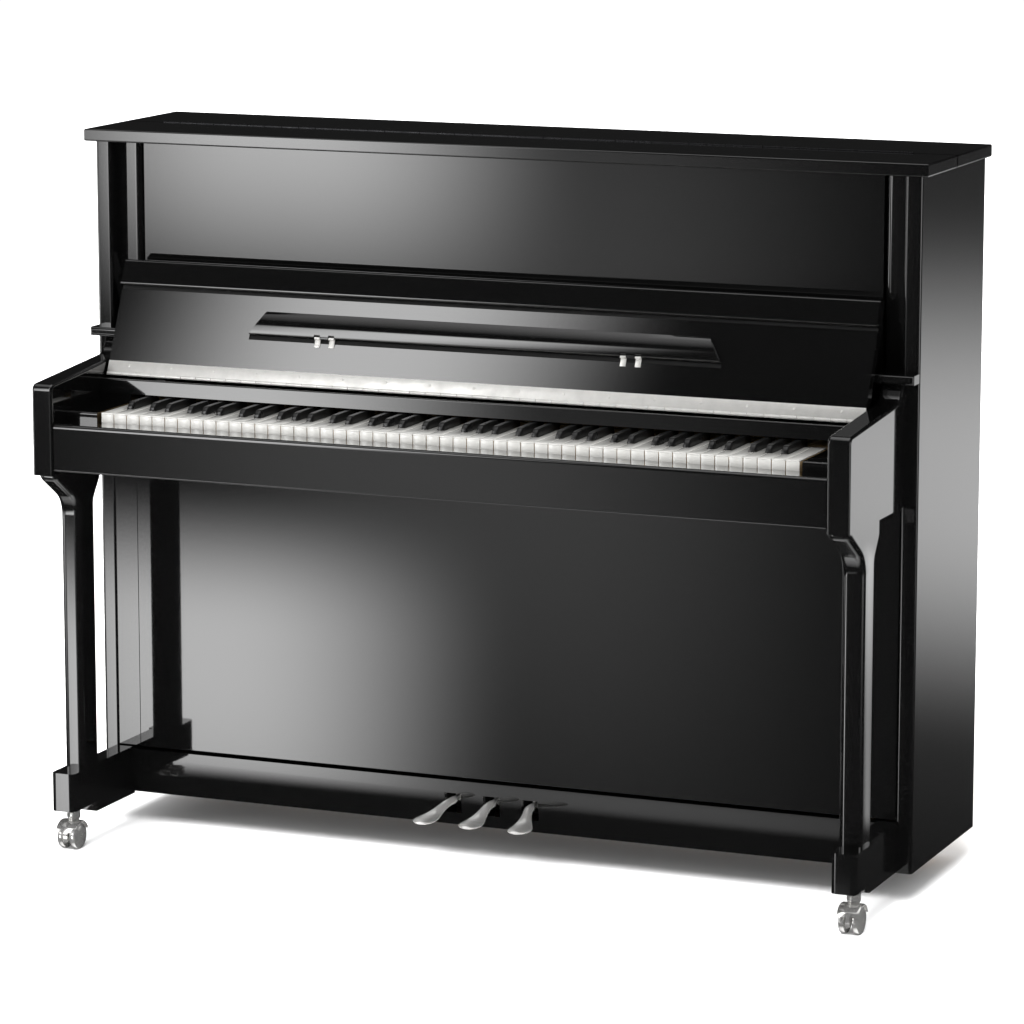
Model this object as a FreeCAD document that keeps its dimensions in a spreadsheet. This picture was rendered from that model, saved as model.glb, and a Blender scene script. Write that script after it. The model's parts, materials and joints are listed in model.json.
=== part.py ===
import FreeCAD, Part
import os

import Sketcher
from FreeCAD import Placement, Rotation, Vector

# An upright piano in black polished casework, millimetres and degrees.
# Frame: the origin is on the floor under the middle of the object, +X runs
# to the player's right, -Y faces the player and +Z is up.

DIMENSIONS = [
    # casework
    ("lid_top", 1208, "floor to the top face of the lid"),
    ("lid_half", 748, "half the lid's length"),
    ("lid_thick", 21, "thickness of the lid boards"),
    ("lid_front", -44, "front edge of the lid"),
    ("lid_back", 300, "rear edge of the lid"),
    ("lid_split", 109, "hinge line between the two lid boards"),
    ("lid_slot", 5, "slot that the lid hinge sits in"),
    ("side_top_gap", 0.5, "lid to side panel, taken up by felt buttons"),
    ("side_outer", 734, "centre to the outer face of a side panel"),
    ("side_thick", 29, "thickness of a side panel"),
    ("side_front", -30, "front edge of a side panel"),
    ("case_back", 310, "rear edge of a side panel"),
    ("side_bottom", 52, "lower edge of a side panel"),
    ("panel_half", 674, "half the length of the boards between the sides"),
    ("pilaster_inner", 663, "centre to the inner face of a pilaster"),
    ("pilaster_front", 2, "front face of an upper pilaster"),
    # arms, legs and toes
    ("arm_inner", 675, "centre to the inner face of an arm"),
    ("arm_width", 38, "width of an arm"),
    ("arm_front", -310, "front end of an arm"),
    ("arm_bottom", 657, "underside of an arm"),
    ("arm_nose", 810, "top of the arm at its front end"),
    ("arm_heel", 829, "top of the arm where it starts to sweep up"),
    ("arm_crest", 864, "top of the arm's upward sweep"),
    ("cap_outer", 734, "centre to the outer end of an arm cap"),
    ("cap_inner", 658, "centre to the inner end of an arm cap"),
    ("cap_low", 857, "underside of an arm cap"),
    ("cap_high", 872, "top of an arm cap"),
    ("leg_front", -225, "front face of a leg"),
    ("leg_back", -176, "rear face of a leg"),
    ("leg_inner", 672, "centre to the inner face of a leg"),
    ("toe_top", 138, "top of a toe block"),
    ("toe_bottom", 54, "underside of a toe block"),
    ("toe_head_bottom", 72, "underside of the toe's head, over the caster"),
    ("toe_front", -262, "front end of a toe block"),
    ("toe_neck", -172, "where the toe's wide head ends"),
    # keyboard
    ("keybed_low", 665, "underside of the keybed"),
    ("keybed_high", 700, "top of the keybed"),
    ("keybed_back", 100, "rear edge of the keybed"),
    ("slip_front", -307.5, "front face of the key slip"),
    ("slip_back", -259, "rear face of the key slip"),
    ("slip_top", 744, "top of the key slip"),
    ("keyboard_half", 612.5, "half the length of the 52 white keys"),
    ("key_front", -255, "front end of a white key"),
    ("key_back", 95, "rear end of every key stick"),
    ("head_length", 50, "white key in front of the black keys"),
    ("key_bottom", 738, "underside of the key sticks"),
    ("key_top", 760, "top of the white keys"),
    ("sharp_top", 772, "top of the black keys"),
    ("sharp_base_half", 5.6, "half the width of a black key at its foot"),
    ("sharp_crown_half", 4.7, "half the width of a black key at its top"),
    ("sharp_back", -107, "rear end of a black key's cap"),
    ("key_gap", 1.1, "gap between neighbouring white keys"),
    ("balance_line", -25, "balance rail that the keys rock on"),
    # fallboard and music desk
    ("fall_hinge_y", -118, "fallboard hinge line"),
    ("fall_hinge_z", 804, "height of the fallboard hinge line"),
    ("fall_lean", 24, "lean of the open fallboard, degrees"),
    ("fall_half", 672, "half the length of the fallboard"),
    ("fall_length", 201.5, "fallboard from its hinge to the top of its lip"),
    ("fall_thick", 18, "thickness of the fallboard"),
    ("lip_start", 155.5, "where the fallboard's lip starts"),
    ("lip_depth", 11, "how far the lip stands out"),
    ("desk_low", 81.5, "music desk hinge, along the fallboard"),
    ("desk_high", 123.5, "free edge of the music desk"),
    ("desk_low_half", 420, "half the music desk's hinged edge"),
    ("desk_high_half", 395, "half the music desk's free edge"),
    ("desk_thick", 7, "thickness of the music desk"),
    # panels
    ("upper_face", 6, "front face of the upper panel"),
    ("upper_half", 660, "half the length of the upper panel"),
    ("upper_low", 790, "lower edge of the upper panel"),
    ("shelf_front", -52, "front edge of the music shelf"),
    ("lower_face", -35, "front face of the lower panel"),
    ("lower_half", 661, "half the length of the lower panel"),
    ("lower_thick", 18, "thickness of the lower panel"),
    ("lower_low", 139.5, "lower edge of the lower panel"),
    ("lower_high", 655, "upper edge of the lower panel"),
    ("rail_low", 59, "underside of the bottom rail"),
    ("rail_high", 136, "top of the bottom rail"),
    # pedals
    ("pedal_pitch", 70, "distance between neighbouring pedals"),
    ("pedal_pivot_y", 50, "pedal pin"),
    ("pedal_pivot_z", 101, "height of the pedal pin"),
    ("pedal_tip", -143, "front tip of a pedal"),
    ("pin_radius", 3, "radius of pins and axles"),
    ("run_gap", 0.05, "radial running clearance of pins and axles"),
    ("trap_y", 110, "first trap lever"),
    ("trap_pitch_y", 18, "distance between neighbouring trap levers"),
    ("trap_low", 114, "underside of the trap levers"),
    ("trap_high", 138, "top of the trap levers"),
    ("trap_reach", 560, "pedal to the pivot of its trap lever"),
    ("rod_first_x", -671, "first pedal rod"),
    ("rod_pitch", 13, "distance between neighbouring pedal rods"),
    ("rod_radius", 5, "radius of a pedal rod"),
    # strung back
    ("post_front", 222, "front face of the back posts"),
    ("back_face", 308, "rear face of the back posts"),
    ("post_width", 60, "width of a back post"),
    ("board_front", 205, "front face of the soundboard"),
    ("board_back", 214, "rear face of the soundboard"),
    ("plate_front", 176, "front face of the iron plate"),
    ("plate_back", 188, "rear face of the iron plate"),
    ("string_plane", 168, "plane of the treble strings"),
    ("bass_plane", 161, "plane of the crossing bass strings"),
    # action
    ("hammer_pitch", 13.7, "distance between neighbouring hammers"),
    ("hammer_thick", 9, "thickness of a hammer"),
    ("butt_y", 99, "pivot line of the hammer butts"),
    ("butt_z", 904, "height of the hammer butts' pivot line"),
    ("damper_y", 125, "damper rod"),
    ("damper_z", 868, "height of the damper rod"),
    ("felt_low", 1048, "lower edge of the muffler felt"),
    ("felt_high", 1090, "upper edge of the muffler felt"),
    # casters
    ("caster_x", 698, "centre to a front caster"),
    ("caster_stem_y", -216, "swivel axis of a front caster"),
    ("caster_axle_y", -223.5, "axle of a front caster"),
    ("wheel_radius", 23, "radius of a caster wheel"),
    ("wheel_width", 14, "width of each of the twin wheels"),
    ("web_half", 4, "half the width of the fork's web between the wheels"),
    ("rear_caster_x", 600, "centre to a rear caster"),
    ("rear_caster_y", 262, "axle of a rear caster"),
]

WHITE_PER_OCTAVE = 7
HAMMERS = 88
BASS_STRINGS = 28
DAMPERS = 66
PEDALS = ("left", "middle", "right")


class Size:
    """A number that remembers the sheet expression it came from."""

    def __init__(self, value, text):
        self.value, self.text = float(value), text

    @staticmethod
    def of(other):
        return other if isinstance(other, Size) else Size(other, f"({float(other):.6f})")

    def joined(self, other, sign, value):
        return Size(value, f"({self.text} {sign} {other.text})")

    def __add__(self, other):
        other = Size.of(other)
        return self.joined(other, "+", self.value + other.value)

    def __sub__(self, other):
        other = Size.of(other)
        return self.joined(other, "-", self.value - other.value)

    def __mul__(self, other):
        other = Size.of(other)
        return self.joined(other, "*", self.value * other.value)

    def __truediv__(self, other):
        other = Size.of(other)
        return self.joined(other, "/", self.value / other.value)

    def __radd__(self, other):
        return Size.of(other) + self

    def __rsub__(self, other):
        return Size.of(other) - self

    def __rmul__(self, other):
        return Size.of(other) * self

    def __neg__(self):
        return Size.of(0) - self


class Sizes:
    """The sheet's named sizes, as attributes."""

    def __init__(self, rows):
        for alias, number, _ in rows:
            setattr(self, alias, Size(number, f"dims.{alias}"))


def fill_sheet(rows):
    sheet = doc.addObject("Spreadsheet::Sheet", "dims")
    for row, (alias, number, note) in enumerate(rows, start=1):
        sheet.set(f"A{row}", alias)
        sheet.set(f"B{row}", str(number))
        sheet.setAlias(f"B{row}", alias)
        sheet.set(f"C{row}", note)
    doc.recompute()


doc = FreeCAD.newDocument("upright_piano")
fill_sheet(DIMENSIONS)
D = Sizes(DIMENSIONS)
nodes = []


# ---------------------------------------------------------------- helpers

def keep(name, obj):
    """Make an object one of the model's named pieces."""
    obj.Label = name
    nodes.append(obj)
    return obj


def mirrored(side, inner, outer):
    """X limits of a piece on the left (-1) or the right (+1)."""
    inner, outer = Size.of(inner), Size.of(outer)
    return (inner, outer) if side > 0 else (-outer, -inner)


def around(centre, half):
    return centre - half, centre + half


def block(name, x, y, z):
    """A rectangular board between two limits on each axis."""
    obj = doc.addObject("Part::Box", name)
    for side, axis, (low, high) in zip(("Length", "Width", "Height"), "xyz", (x, y, z)):
        low, high = Size.of(low), Size.of(high)
        obj.setExpression(side, (high - low).text)
        obj.setExpression(f"Placement.Base.{axis}", low.text)
    return obj


def rod(name, radius, length, base, axis):
    """A round bar from a base point along +X, +Y or +Z."""
    obj = doc.addObject("Part::Cylinder", name)
    obj.setExpression("Radius", Size.of(radius).text)
    obj.setExpression("Height", Size.of(length).text)
    turns = {"x": Rotation(Vector(0, 1, 0), 90), "y": Rotation(Vector(1, 0, 0), -90),
             "z": Rotation()}
    obj.Placement = Placement(Vector(), turns[axis])
    for letter, value in zip("xyz", base):
        obj.setExpression(f"Placement.Base.{letter}", Size.of(value).text)
    return obj


def group(name, pieces):
    """Separate solids kept in one piece."""
    obj = doc.addObject("Part::Compound", name)
    obj.Links = pieces
    return obj


def joined(name, pieces):
    obj = doc.addObject("Part::MultiFuse", name)
    obj.Shapes = pieces
    obj.Refine = True
    return obj


def cut(name, base, tools):
    obj = doc.addObject("Part::Cut", name)
    obj.Base = base
    obj.Tool = tools[0] if len(tools) == 1 else group(name + "_tools", tools)
    return obj


def edge_is(edge, direction, at):
    """True for a straight edge along an axis, centred at the given coordinates."""
    start, end = edge.Vertexes[0].Point, edge.Vertexes[-1].Point
    run = end - start
    if run.Length < 1e-6 or abs(abs(run.normalize()[direction]) - 1) > 1e-4:
        return False
    middle = (start + end) * 0.5
    return all(any(abs(middle["xyz".index(axis)] - Size.of(v).value) < 0.3 for v in values)
               for axis, values in at.items())


def rounded(name, base, radius, picks):
    """Round the straight edges of a Part object: picks are (direction, {axis: values})."""
    doc.recompute()
    obj = doc.addObject("Part::Fillet", name)
    obj.Base = base
    obj.Edges = [(number, radius, radius) for number, edge in enumerate(base.Shape.Edges, 1)
                 if any(edge_is(edge, direction, at) for direction, at in picks)]
    if not obj.Edges:
        raise ValueError(f"{name}: no edge to round")
    return obj


def origin_plane(body, role):
    return next(item for item in body.Origin.OriginFeatures if item.Role == role)


def outline(body, name, plane, points, offset):
    """A closed polygon sketch, each corner held by the sheet, offset along its normal."""
    sketch = body.newObject("Sketcher::SketchObject", name)
    sketch.AttachmentSupport = (origin_plane(body, plane + "_Plane"), [""])
    sketch.MapMode = "FlatFace"
    sketch.setExpression("AttachmentOffset.Base.z", Size.of(offset).text)
    corners = [(Size.of(u), Size.of(v)) for u, v in points]
    count = len(corners)
    for index in range(count):
        (u0, v0), (u1, v1) = corners[index], corners[(index + 1) % count]
        sketch.addGeometry(Part.LineSegment(Vector(u0.value, v0.value, 0),
                                            Vector(u1.value, v1.value, 0)), False)
    for index in range(count):
        sketch.addConstraint(Sketcher.Constraint("Coincident", index, 2, (index + 1) % count, 1))
    for index, (u, v) in enumerate(corners):
        for kind, size in (("DistanceX", u), ("DistanceY", v)):
            number = sketch.addConstraint(Sketcher.Constraint(kind, -1, 1, index, 1, size.value))
            sketch.setExpression(f"Constraints[{number}]", size.text)
    return sketch


def pad(body, name, plane, points, low, high):
    """Pad a polygon from low to high along X (YZ), Y (XZ) or Z (XY)."""
    low, high = Size.of(low), Size.of(high)
    offset = -high if plane == "XZ" else low
    sketch = outline(body, name + "_outline", plane, points, offset)
    feature = body.newObject("PartDesign::Pad", name)
    feature.Profile = sketch
    feature.setExpression("Length", (high - low).text)
    sketch.Visibility = False
    body.Tip = feature
    return feature


def round_body(body, name, radius, picks):
    """Round straight edges of the body's newest feature."""
    doc.recompute()
    base = body.Tip
    names = [f"Edge{number}" for number, edge in enumerate(base.Shape.Edges, 1)
             if any(edge_is(edge, direction, at) for direction, at in picks)]
    if not names:
        raise ValueError(f"{name}: no edge to round")
    feature = body.newObject("PartDesign::Fillet", name)
    feature.Base = (base, names)
    feature.Radius = radius
    body.Tip = feature
    return feature


def prism(name, plane, points, low, high, rounds=()):
    """A body: one polygon padded along the plane's normal, then rounded corners."""
    body = doc.addObject("PartDesign::Body", name)
    pad(body, name + "_pad", plane, points, low, high)
    direction = {"YZ": 0, "XZ": 1, "XY": 2}[plane]
    axes = {"YZ": "yz", "XZ": "xz", "XY": "xy"}[plane]
    for number, (radius, corners) in enumerate(rounds, start=1):
        picks = [(direction, {axes[0]: [u], axes[1]: [v]}) for u, v in corners]
        round_body(body, f"{name}_round_{number}", radius, picks)
    return body


def shape_node(name, shape):
    obj = doc.addObject("Part::Feature", name)
    obj.Shape = shape
    return obj


# --------------------------------------------------------------- casework

lid_low = D.lid_top - D.lid_thick
side_top = lid_low - D.side_top_gap
side_inner = D.side_outer - D.side_thick
arm_outer = D.arm_inner + D.arm_width
SIDES = (("left", -1), ("right", 1))
EDGE_SOFT = 3
FRONT_SOFT = 6


def side_panel(name, side):
    x = mirrored(side, side_inner, D.side_outer)
    board = block(name + "_board", x, (D.side_front, D.case_back), (D.side_bottom, side_top))
    front = [(2, {"y": [D.side_front]})]
    return rounded(name, board, FRONT_SOFT, front)


def arm(name, side):
    """An arm beside the keys, sweeping up at the rear into a moulded cap."""
    x = mirrored(side, D.arm_inner, arm_outer)
    nose, heel, crest = (D.arm_front, D.arm_nose), (-62, D.arm_heel), (-40, D.arm_crest)
    profile = [(D.arm_front, D.arm_bottom), nose, heel, crest,
               (D.side_front, D.arm_crest), (D.side_front, D.arm_bottom)]
    body = prism(name + "_body", "YZ", profile, x[0], x[1], [(12, [nose]), (24, [heel])])
    round_body(body, name + "_edges", 5, [(2, {"y": [D.arm_front]})])
    cap_z = (D.cap_low, D.cap_high)
    cap = block(name + "_cap_board", mirrored(side, D.cap_inner, D.cap_outer),
                (D.side_front - 31, D.side_front), cap_z)
    cap_edges = [(0, {"y": [D.side_front - 31]}), (2, {"y": [D.side_front - 31]})]
    seat = block(name + "_pilaster_seat", mirrored(side, D.pilaster_inner, side_inner),
                 (D.side_front, 30), cap_z)
    return joined(name, [body, rounded(name + "_cap", cap, 5, cap_edges), seat])


def leg(name, side):
    """A straight square leg that flares into a bracket under the arm."""
    x = mirrored(side, D.leg_inner, D.leg_inner + D.arm_width)
    waist_front, waist_back = (D.leg_front, 600), (D.leg_back, 598)
    flare_front, flare_back = (-298, 648), (-151, 632)
    profile = [(D.leg_front, D.toe_top), waist_front, flare_front, (-298, D.arm_bottom),
               (-151, D.arm_bottom), flare_back, waist_back, (D.leg_back, D.toe_top)]
    rounds = [(45, [waist_front]), (30, [waist_back]), (12, [flare_front]), (10, [flare_back])]
    body = prism(name, "YZ", profile, x[0], x[1], rounds)
    front = [(2, {"y": [D.leg_front], "z": [(D.toe_top.value + z) / 2]}) for z in leg_tangents(body)]
    round_body(body, name + "_edges", 12, front)
    return body


def leg_tangents(body):
    """Upper ends of the straight front edges, found on the solid itself."""
    doc.recompute()
    tops = set()
    for edge in body.Shape.Edges:
        if edge_is(edge, 2, {"y": [D.leg_front]}):
            tops.add(round(max(point.Z for point in edge.Vertexes), 4))
    return tops


def toe_block(name, side):
    """The runner that ties a leg to the case, with a wide head over the caster."""
    runner = block(name + "_runner", mirrored(side, 677, 709),
                   (D.toe_neck, D.side_front), (D.toe_bottom, D.toe_top))
    head = block(name + "_head_board", mirrored(side, 673, 716),
                 (D.toe_front, D.toe_neck), (D.toe_head_bottom, D.toe_top))
    corners = [(2, {"y": [D.toe_front]})]
    return joined(name, [runner, rounded(name + "_head", head, 10, corners)])


def pilaster(name, side, front, z, radius):
    """A strip beside a panel, rounded along the edge next to it."""
    x = mirrored(side, D.pilaster_inner, side_inner)
    board = block(name + "_board", x, (front, 30), z)
    inner_edge = {"x": [D.pilaster_inner * side], "y": [front]}
    return rounded(name, board, radius, [(2, inner_edge)])


for label, side in SIDES:
    keep(f"side_panel_{label}", side_panel(f"side_panel_{label}", side))
    keep(f"arm_{label}", arm(f"arm_{label}", side))
    keep(f"leg_{label}", leg(f"leg_{label}", side))
    keep(f"toe_block_{label}", toe_block(f"toe_block_{label}", side))

strips = []
for label, side in SIDES:
    strips.append(pilaster(f"upper_pilaster_{label}", side, D.pilaster_front,
                           (D.cap_high, side_top), 12))
    strips.append(pilaster(f"lower_pilaster_{label}", side, D.side_front,
                           (D.toe_top + 2, D.arm_bottom), 2))
keep("pilasters", group("pilasters", strips))


def lid_board(name, y, free_edge):
    z = (lid_low, D.lid_top)
    board = block(name + "_board", (-D.lid_half, D.lid_half), y, z)
    ends = [(1, {"x": [-D.lid_half, D.lid_half], "z": [z[0], z[1]]}),
            (0, {"y": [free_edge], "z": [z[0], z[1]]})]
    return rounded(name, board, EDGE_SOFT, ends)


half_slot = D.lid_slot / 2
keep("lid_rear", lid_board("lid_rear", (D.lid_split + half_slot, D.lid_back), D.lid_back))
keep("lid_front", lid_board("lid_front", (D.lid_front, D.lid_split - half_slot), D.lid_front))

LID_KNUCKLE = 2
lid_barrel = rod("lid_barrel", LID_KNUCKLE, 2 * D.panel_half,
                 (-D.panel_half, D.lid_split, D.lid_top), "x")
lid_leaf = block("lid_leaf", (-D.panel_half, D.panel_half),
                 (D.lid_split + 1.2, D.lid_split + half_slot), (lid_low + 1, D.lid_top))
keep("lid_hinge", joined("lid_hinge", [lid_barrel, lid_leaf]))

panel = block("upper_board", (-D.upper_half, D.upper_half),
              (D.upper_face, D.upper_face + 20), (D.upper_low, side_top - 3))
shelf = block("music_shelf_board", (-D.upper_half, D.upper_half),
              (D.shelf_front, D.upper_face), (880, 900))
shelf = rounded("music_shelf", shelf, 6, [(0, {"y": [D.shelf_front]})])
keep("upper_panel", joined("upper_panel", [panel, shelf]))

lower = block("lower_panel_board", (-D.lower_half, D.lower_half),
              (D.lower_face, D.lower_face + D.lower_thick), (D.lower_low, D.lower_high))
keep("lower_panel", rounded("lower_panel", lower, 2, [(0, {"y": [D.lower_face]})]))


def bottom_rail():
    """The plinth with a bowed front and three slots for the pedals."""
    low, high, back = D.rail_low, D.rail_high, 8
    belly = (-42.6, low + 0.55 * (high - low))
    profile = [(back, low), (back, high), (-43, high), belly, (-36, low)]
    half = D.panel_half + 2.5
    body = prism("bottom_rail_body", "YZ", profile, -half, half, [(280, [belly])])
    slots = [block(f"pedal_slot_{label}", around(D.pedal_pitch * number, 15), (-50, 20), (80, 114))
             for number, label in zip((-1, 0, 1), PEDALS)]
    return cut("bottom_rail", body, slots)


keep("bottom_rail", bottom_rail())


def bottom_board():
    """The floor of the case, with a bearing and a pin for each pedal."""
    pieces = [block("case_floor", (-side_inner, side_inner), (8, D.post_front), (D.rail_low, 81))]
    for number, label in zip((-1, 0, 1), PEDALS):
        middle = D.pedal_pitch * number
        for hand, low, high in (("near", -21, -8), ("far", 8, 21)):
            pieces.append(block(f"bearing_{label}_{hand}", (middle + low, middle + high),
                                around(D.pedal_pivot_y, 9), (81, D.pedal_pivot_z + 8)))
        pieces.append(rod(f"pedal_pin_{label}", D.pin_radius, 42,
                          (middle - 21, D.pedal_pivot_y, D.pedal_pivot_z), "x"))
    return joined("bottom_board", pieces)


keep("bottom_board", bottom_board())

# --------------------------------------------------------------- keyboard

keep("keybed", block("keybed", (-D.panel_half, D.panel_half),
                     (D.slip_back, D.keybed_back), (D.keybed_low, D.keybed_high)))

slip_profile = [(D.slip_back, D.keybed_low), (D.slip_front, D.keybed_low),
                (D.slip_front, D.slip_top), (D.slip_back, D.slip_top)]
keep("key_slip", prism("key_slip", "YZ", slip_profile, -D.panel_half, D.panel_half,
                       [(7, [(D.slip_front, D.slip_top)]), (3, [(D.slip_front, D.keybed_low)])]))


def key_block(name, side):
    """The cheek beside the keys, stepped up at the rear to carry the rail."""
    x = mirrored(side, D.keyboard_half + 5.5, D.panel_half)
    step, rear, shoulder = -136, -100, 774
    profile = [(D.slip_back, D.keybed_high), (D.slip_back, D.key_top), (step, D.key_top),
               (step, shoulder), (rear, shoulder), (rear, D.keybed_high)]
    return prism(name, "YZ", profile, x[0], x[1], [(4, [(D.slip_back, D.key_top)])])


keep("key_blocks", group("key_blocks", [key_block(f"key_block_{label}", side)
                                        for label, side in SIDES]))

rail_nose = (-132.5, 798)
rail_profile = [(-137, 774), rail_nose, (-121, 798), (-121, 786), (26, 786), (26, 774)]
keep("fallboard_rail", prism("fallboard_rail", "YZ", rail_profile, -D.panel_half, D.panel_half,
                             [(3, [rail_nose])]))


def rail(name, y, top):
    """One of the three rails of the key frame."""
    return block(name, (-D.keyboard_half, D.keyboard_half), y, (D.keybed_high, top))


keep("key_frame", group("key_frame", [
    rail("front_rail", (-250, -215), 716),
    rail("balance_rail", around(D.balance_line, 6), D.key_bottom - 1),
    rail("back_rail", (65, D.key_back), D.key_bottom - 0.5)]))

white_pitch = 2 * D.keyboard_half / 52
octave = white_pitch * WHITE_PER_OCTAVE
NOTES = ("c", "c_sharp", "d", "d_sharp", "e", "f", "f_sharp", "g", "g_sharp", "a", "a_sharp", "b")
WHITE_INDEX = {"c": 0, "d": 1, "e": 2, "f": 3, "g": 4, "a": 5, "b": 6}


def slot_start(number):
    """Left edge of a key's tail, counted from the left edge of its octave's C."""
    if number < 5:
        return white_pitch * 3 / 5 * number
    return white_pitch * 3 + white_pitch * 4 / 7 * (number - 5)


def first_octave(note):
    """Left edge of the C below the lowest key with this name: A is the lowest key."""
    count = 5 if note in ("a", "a_sharp", "b") else -2
    return -D.keyboard_half - white_pitch * count


def repeat(body, name, count):
    """Repeat the body's features every octave along X."""
    features = [item for item in body.Group if item.TypeId == "PartDesign::Pad"]
    doc.recompute()
    body.AllowCompound = True
    pattern = body.newObject("PartDesign::LinearPattern", name)
    pattern.Originals = features
    pattern.Direction = (features[0].Profile[0], ["H_Axis"])
    pattern.setExpression("Length", (octave * (count - 1)).text)
    pattern.Occurrences = count
    body.Tip = pattern
    return body


def white_key(name, note, start, cut_left=True, cut_right=True):
    """One white key: a full-width head and a narrower tail between the black keys."""
    number, half_gap = NOTES.index(note), D.key_gap / 2
    left = start + white_pitch * WHITE_INDEX[note] + half_gap
    right = left + white_pitch - D.key_gap
    tail_left = start + slot_start(number) + half_gap if cut_left else left
    tail_right = start + slot_start(number + 1) - half_gap if cut_right else right
    shoulder = D.key_front + D.head_length
    points = [(left, D.key_front), (right, D.key_front)]
    if tail_right.value < right.value - 0.5:
        points += [(right, shoulder), (tail_right, shoulder)]
    points += [(tail_right, D.key_back), (tail_left, D.key_back)]
    if tail_left.value > left.value + 0.5:
        points += [(tail_left, shoulder), (left, shoulder)]
    body = doc.addObject("PartDesign::Body", name)
    pad(body, name + "_pad", "XY", points, D.key_bottom, D.key_top)
    return body


def black_key(name, note, start):
    """One black key: a wooden stick under a tapered cap."""
    number = NOTES.index(note)
    middle = start + (slot_start(number) + slot_start(number + 1)) / 2
    base, crown = D.sharp_base_half, D.sharp_crown_half
    front = D.key_front + D.head_length + 2
    body = doc.addObject("PartDesign::Body", name)
    stick = [(middle - base, front), (middle + base, front),
             (middle + base, D.key_back), (middle - base, D.key_back)]
    pad(body, name + "_stick", "XY", stick, D.key_bottom, D.key_top - 2)
    cap = [(middle - base, D.key_top - 2), (middle + base, D.key_top - 2),
           (middle + crown, D.sharp_top), (middle - crown, D.sharp_top)]
    pad(body, name + "_cap", "XZ", cap, front, D.sharp_back)
    return body


def note_keys(note):
    """All keys with one name, so that no two neighbours share a piece."""
    start, name = first_octave(note), f"keys_{note}"
    if note.endswith("sharp"):
        return repeat(black_key(name, note, start), name + "_row", 8 if note == "a_sharp" else 7)
    if note == "a":
        row = repeat(white_key(name + "_upper", note, start + octave), name + "_row", 7)
        return group(name, [row, white_key(name + "_lowest", note, start, cut_left=False)])
    if note == "c":
        row = repeat(white_key(name + "_lower", note, start), name + "_row", 7)
        top = white_key(name + "_highest", note, start + octave * 7, cut_right=False)
        return group(name, [row, top])
    return repeat(white_key(name, note, start), name + "_row", 8 if note == "b" else 7)


for note in NOTES:
    keep(f"keys_{note}", note_keys(note))

# --------------------------------------------- fallboard and music desk

# The fallboard and all it carries are drawn upright on the hinge line, with
# their visible face towards -Y, and then lean back together.
open_fallboard = Rotation(Vector(1, 0, 0), -D.fall_lean.value)


def lean(obj):
    obj.Placement = Placement(Vector(), open_fallboard)
    obj.setExpression("Placement.Base.y", D.fall_hinge_y.text)
    obj.setExpression("Placement.Base.z", D.fall_hinge_z.text)
    return obj


lip_face, board_back = -D.lip_depth, D.fall_thick
lip_low, lip_high = (lip_face, D.lip_start), (lip_face + 4, D.fall_length)
groove_low, groove_back = D.lip_start - 6, 5
fall_profile = [(0, 6), (0, groove_low), (groove_back, groove_low), (groove_back, D.lip_start),
                lip_low, lip_high, (board_back, D.fall_length), (board_back, 6)]
fall_board = prism("fall_board", "YZ", fall_profile, -D.fall_half, D.fall_half,
                   [(2.5, [lip_low]), (7, [lip_high, (board_back, D.fall_length)])])
finger_groove = block("finger_groove", (-D.desk_low_half, D.desk_low_half), (-2, 6),
                      (D.desk_low - 8, D.desk_low))
keep("fallboard", lean(cut("fallboard", fall_board, [finger_groove])))

leaf = block("fall_leaf", (-D.fall_half, D.fall_half), (-0.9, 0), (0, 23))
barrel = rod("fall_barrel", 3, 2 * D.fall_half, (-D.fall_half, 0, 0), "x")
keep("fallboard_hinge", lean(joined("fallboard_hinge", [leaf, barrel])))

desk_low, desk_high = D.desk_low, D.desk_high
desk_profile = [(-D.desk_low_half, desk_low), (D.desk_low_half, desk_low),
                (D.desk_high_half, desk_high), (-D.desk_high_half, desk_high)]
desk = prism("music_desk", "XZ", desk_profile, -1 - D.desk_thick, -1,
             [(8, [(-D.desk_high_half, desk_high), (D.desk_high_half, desk_high)])])
round_body(desk, "desk_front_edge", 4, [(0, {"y": [-1 - D.desk_thick], "z": [desk_high]})])
keep("music_desk", lean(desk))

# ------------------------------------------------------------ strung back

POSTS = 6
post_span = side_inner - D.post_width / 2 - 1
frame_pieces = []
for number in range(POSTS):
    centre = post_span * (2 * number / (POSTS - 1) - 1)
    frame_pieces.append(block(f"post_{number + 1}", around(centre, D.post_width / 2),
                              (D.post_front, D.back_face), (150, 1090)))
beam_x, beam_y = (-(side_inner - 1), side_inner - 1), (D.post_front, D.back_face)
frame_pieces.append(block("top_beam", beam_x, beam_y, (1090, lid_low - 1)))
frame_pieces.append(block("foot_beam", beam_x, beam_y, (D.rail_low, 150)))
frame_pieces.append(block("pin_block", (-D.panel_half, D.panel_half),
                          (D.plate_back, D.post_front), (1062, side_top - 4)))
keep("back_frame", joined("back_frame", frame_pieces))


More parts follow.
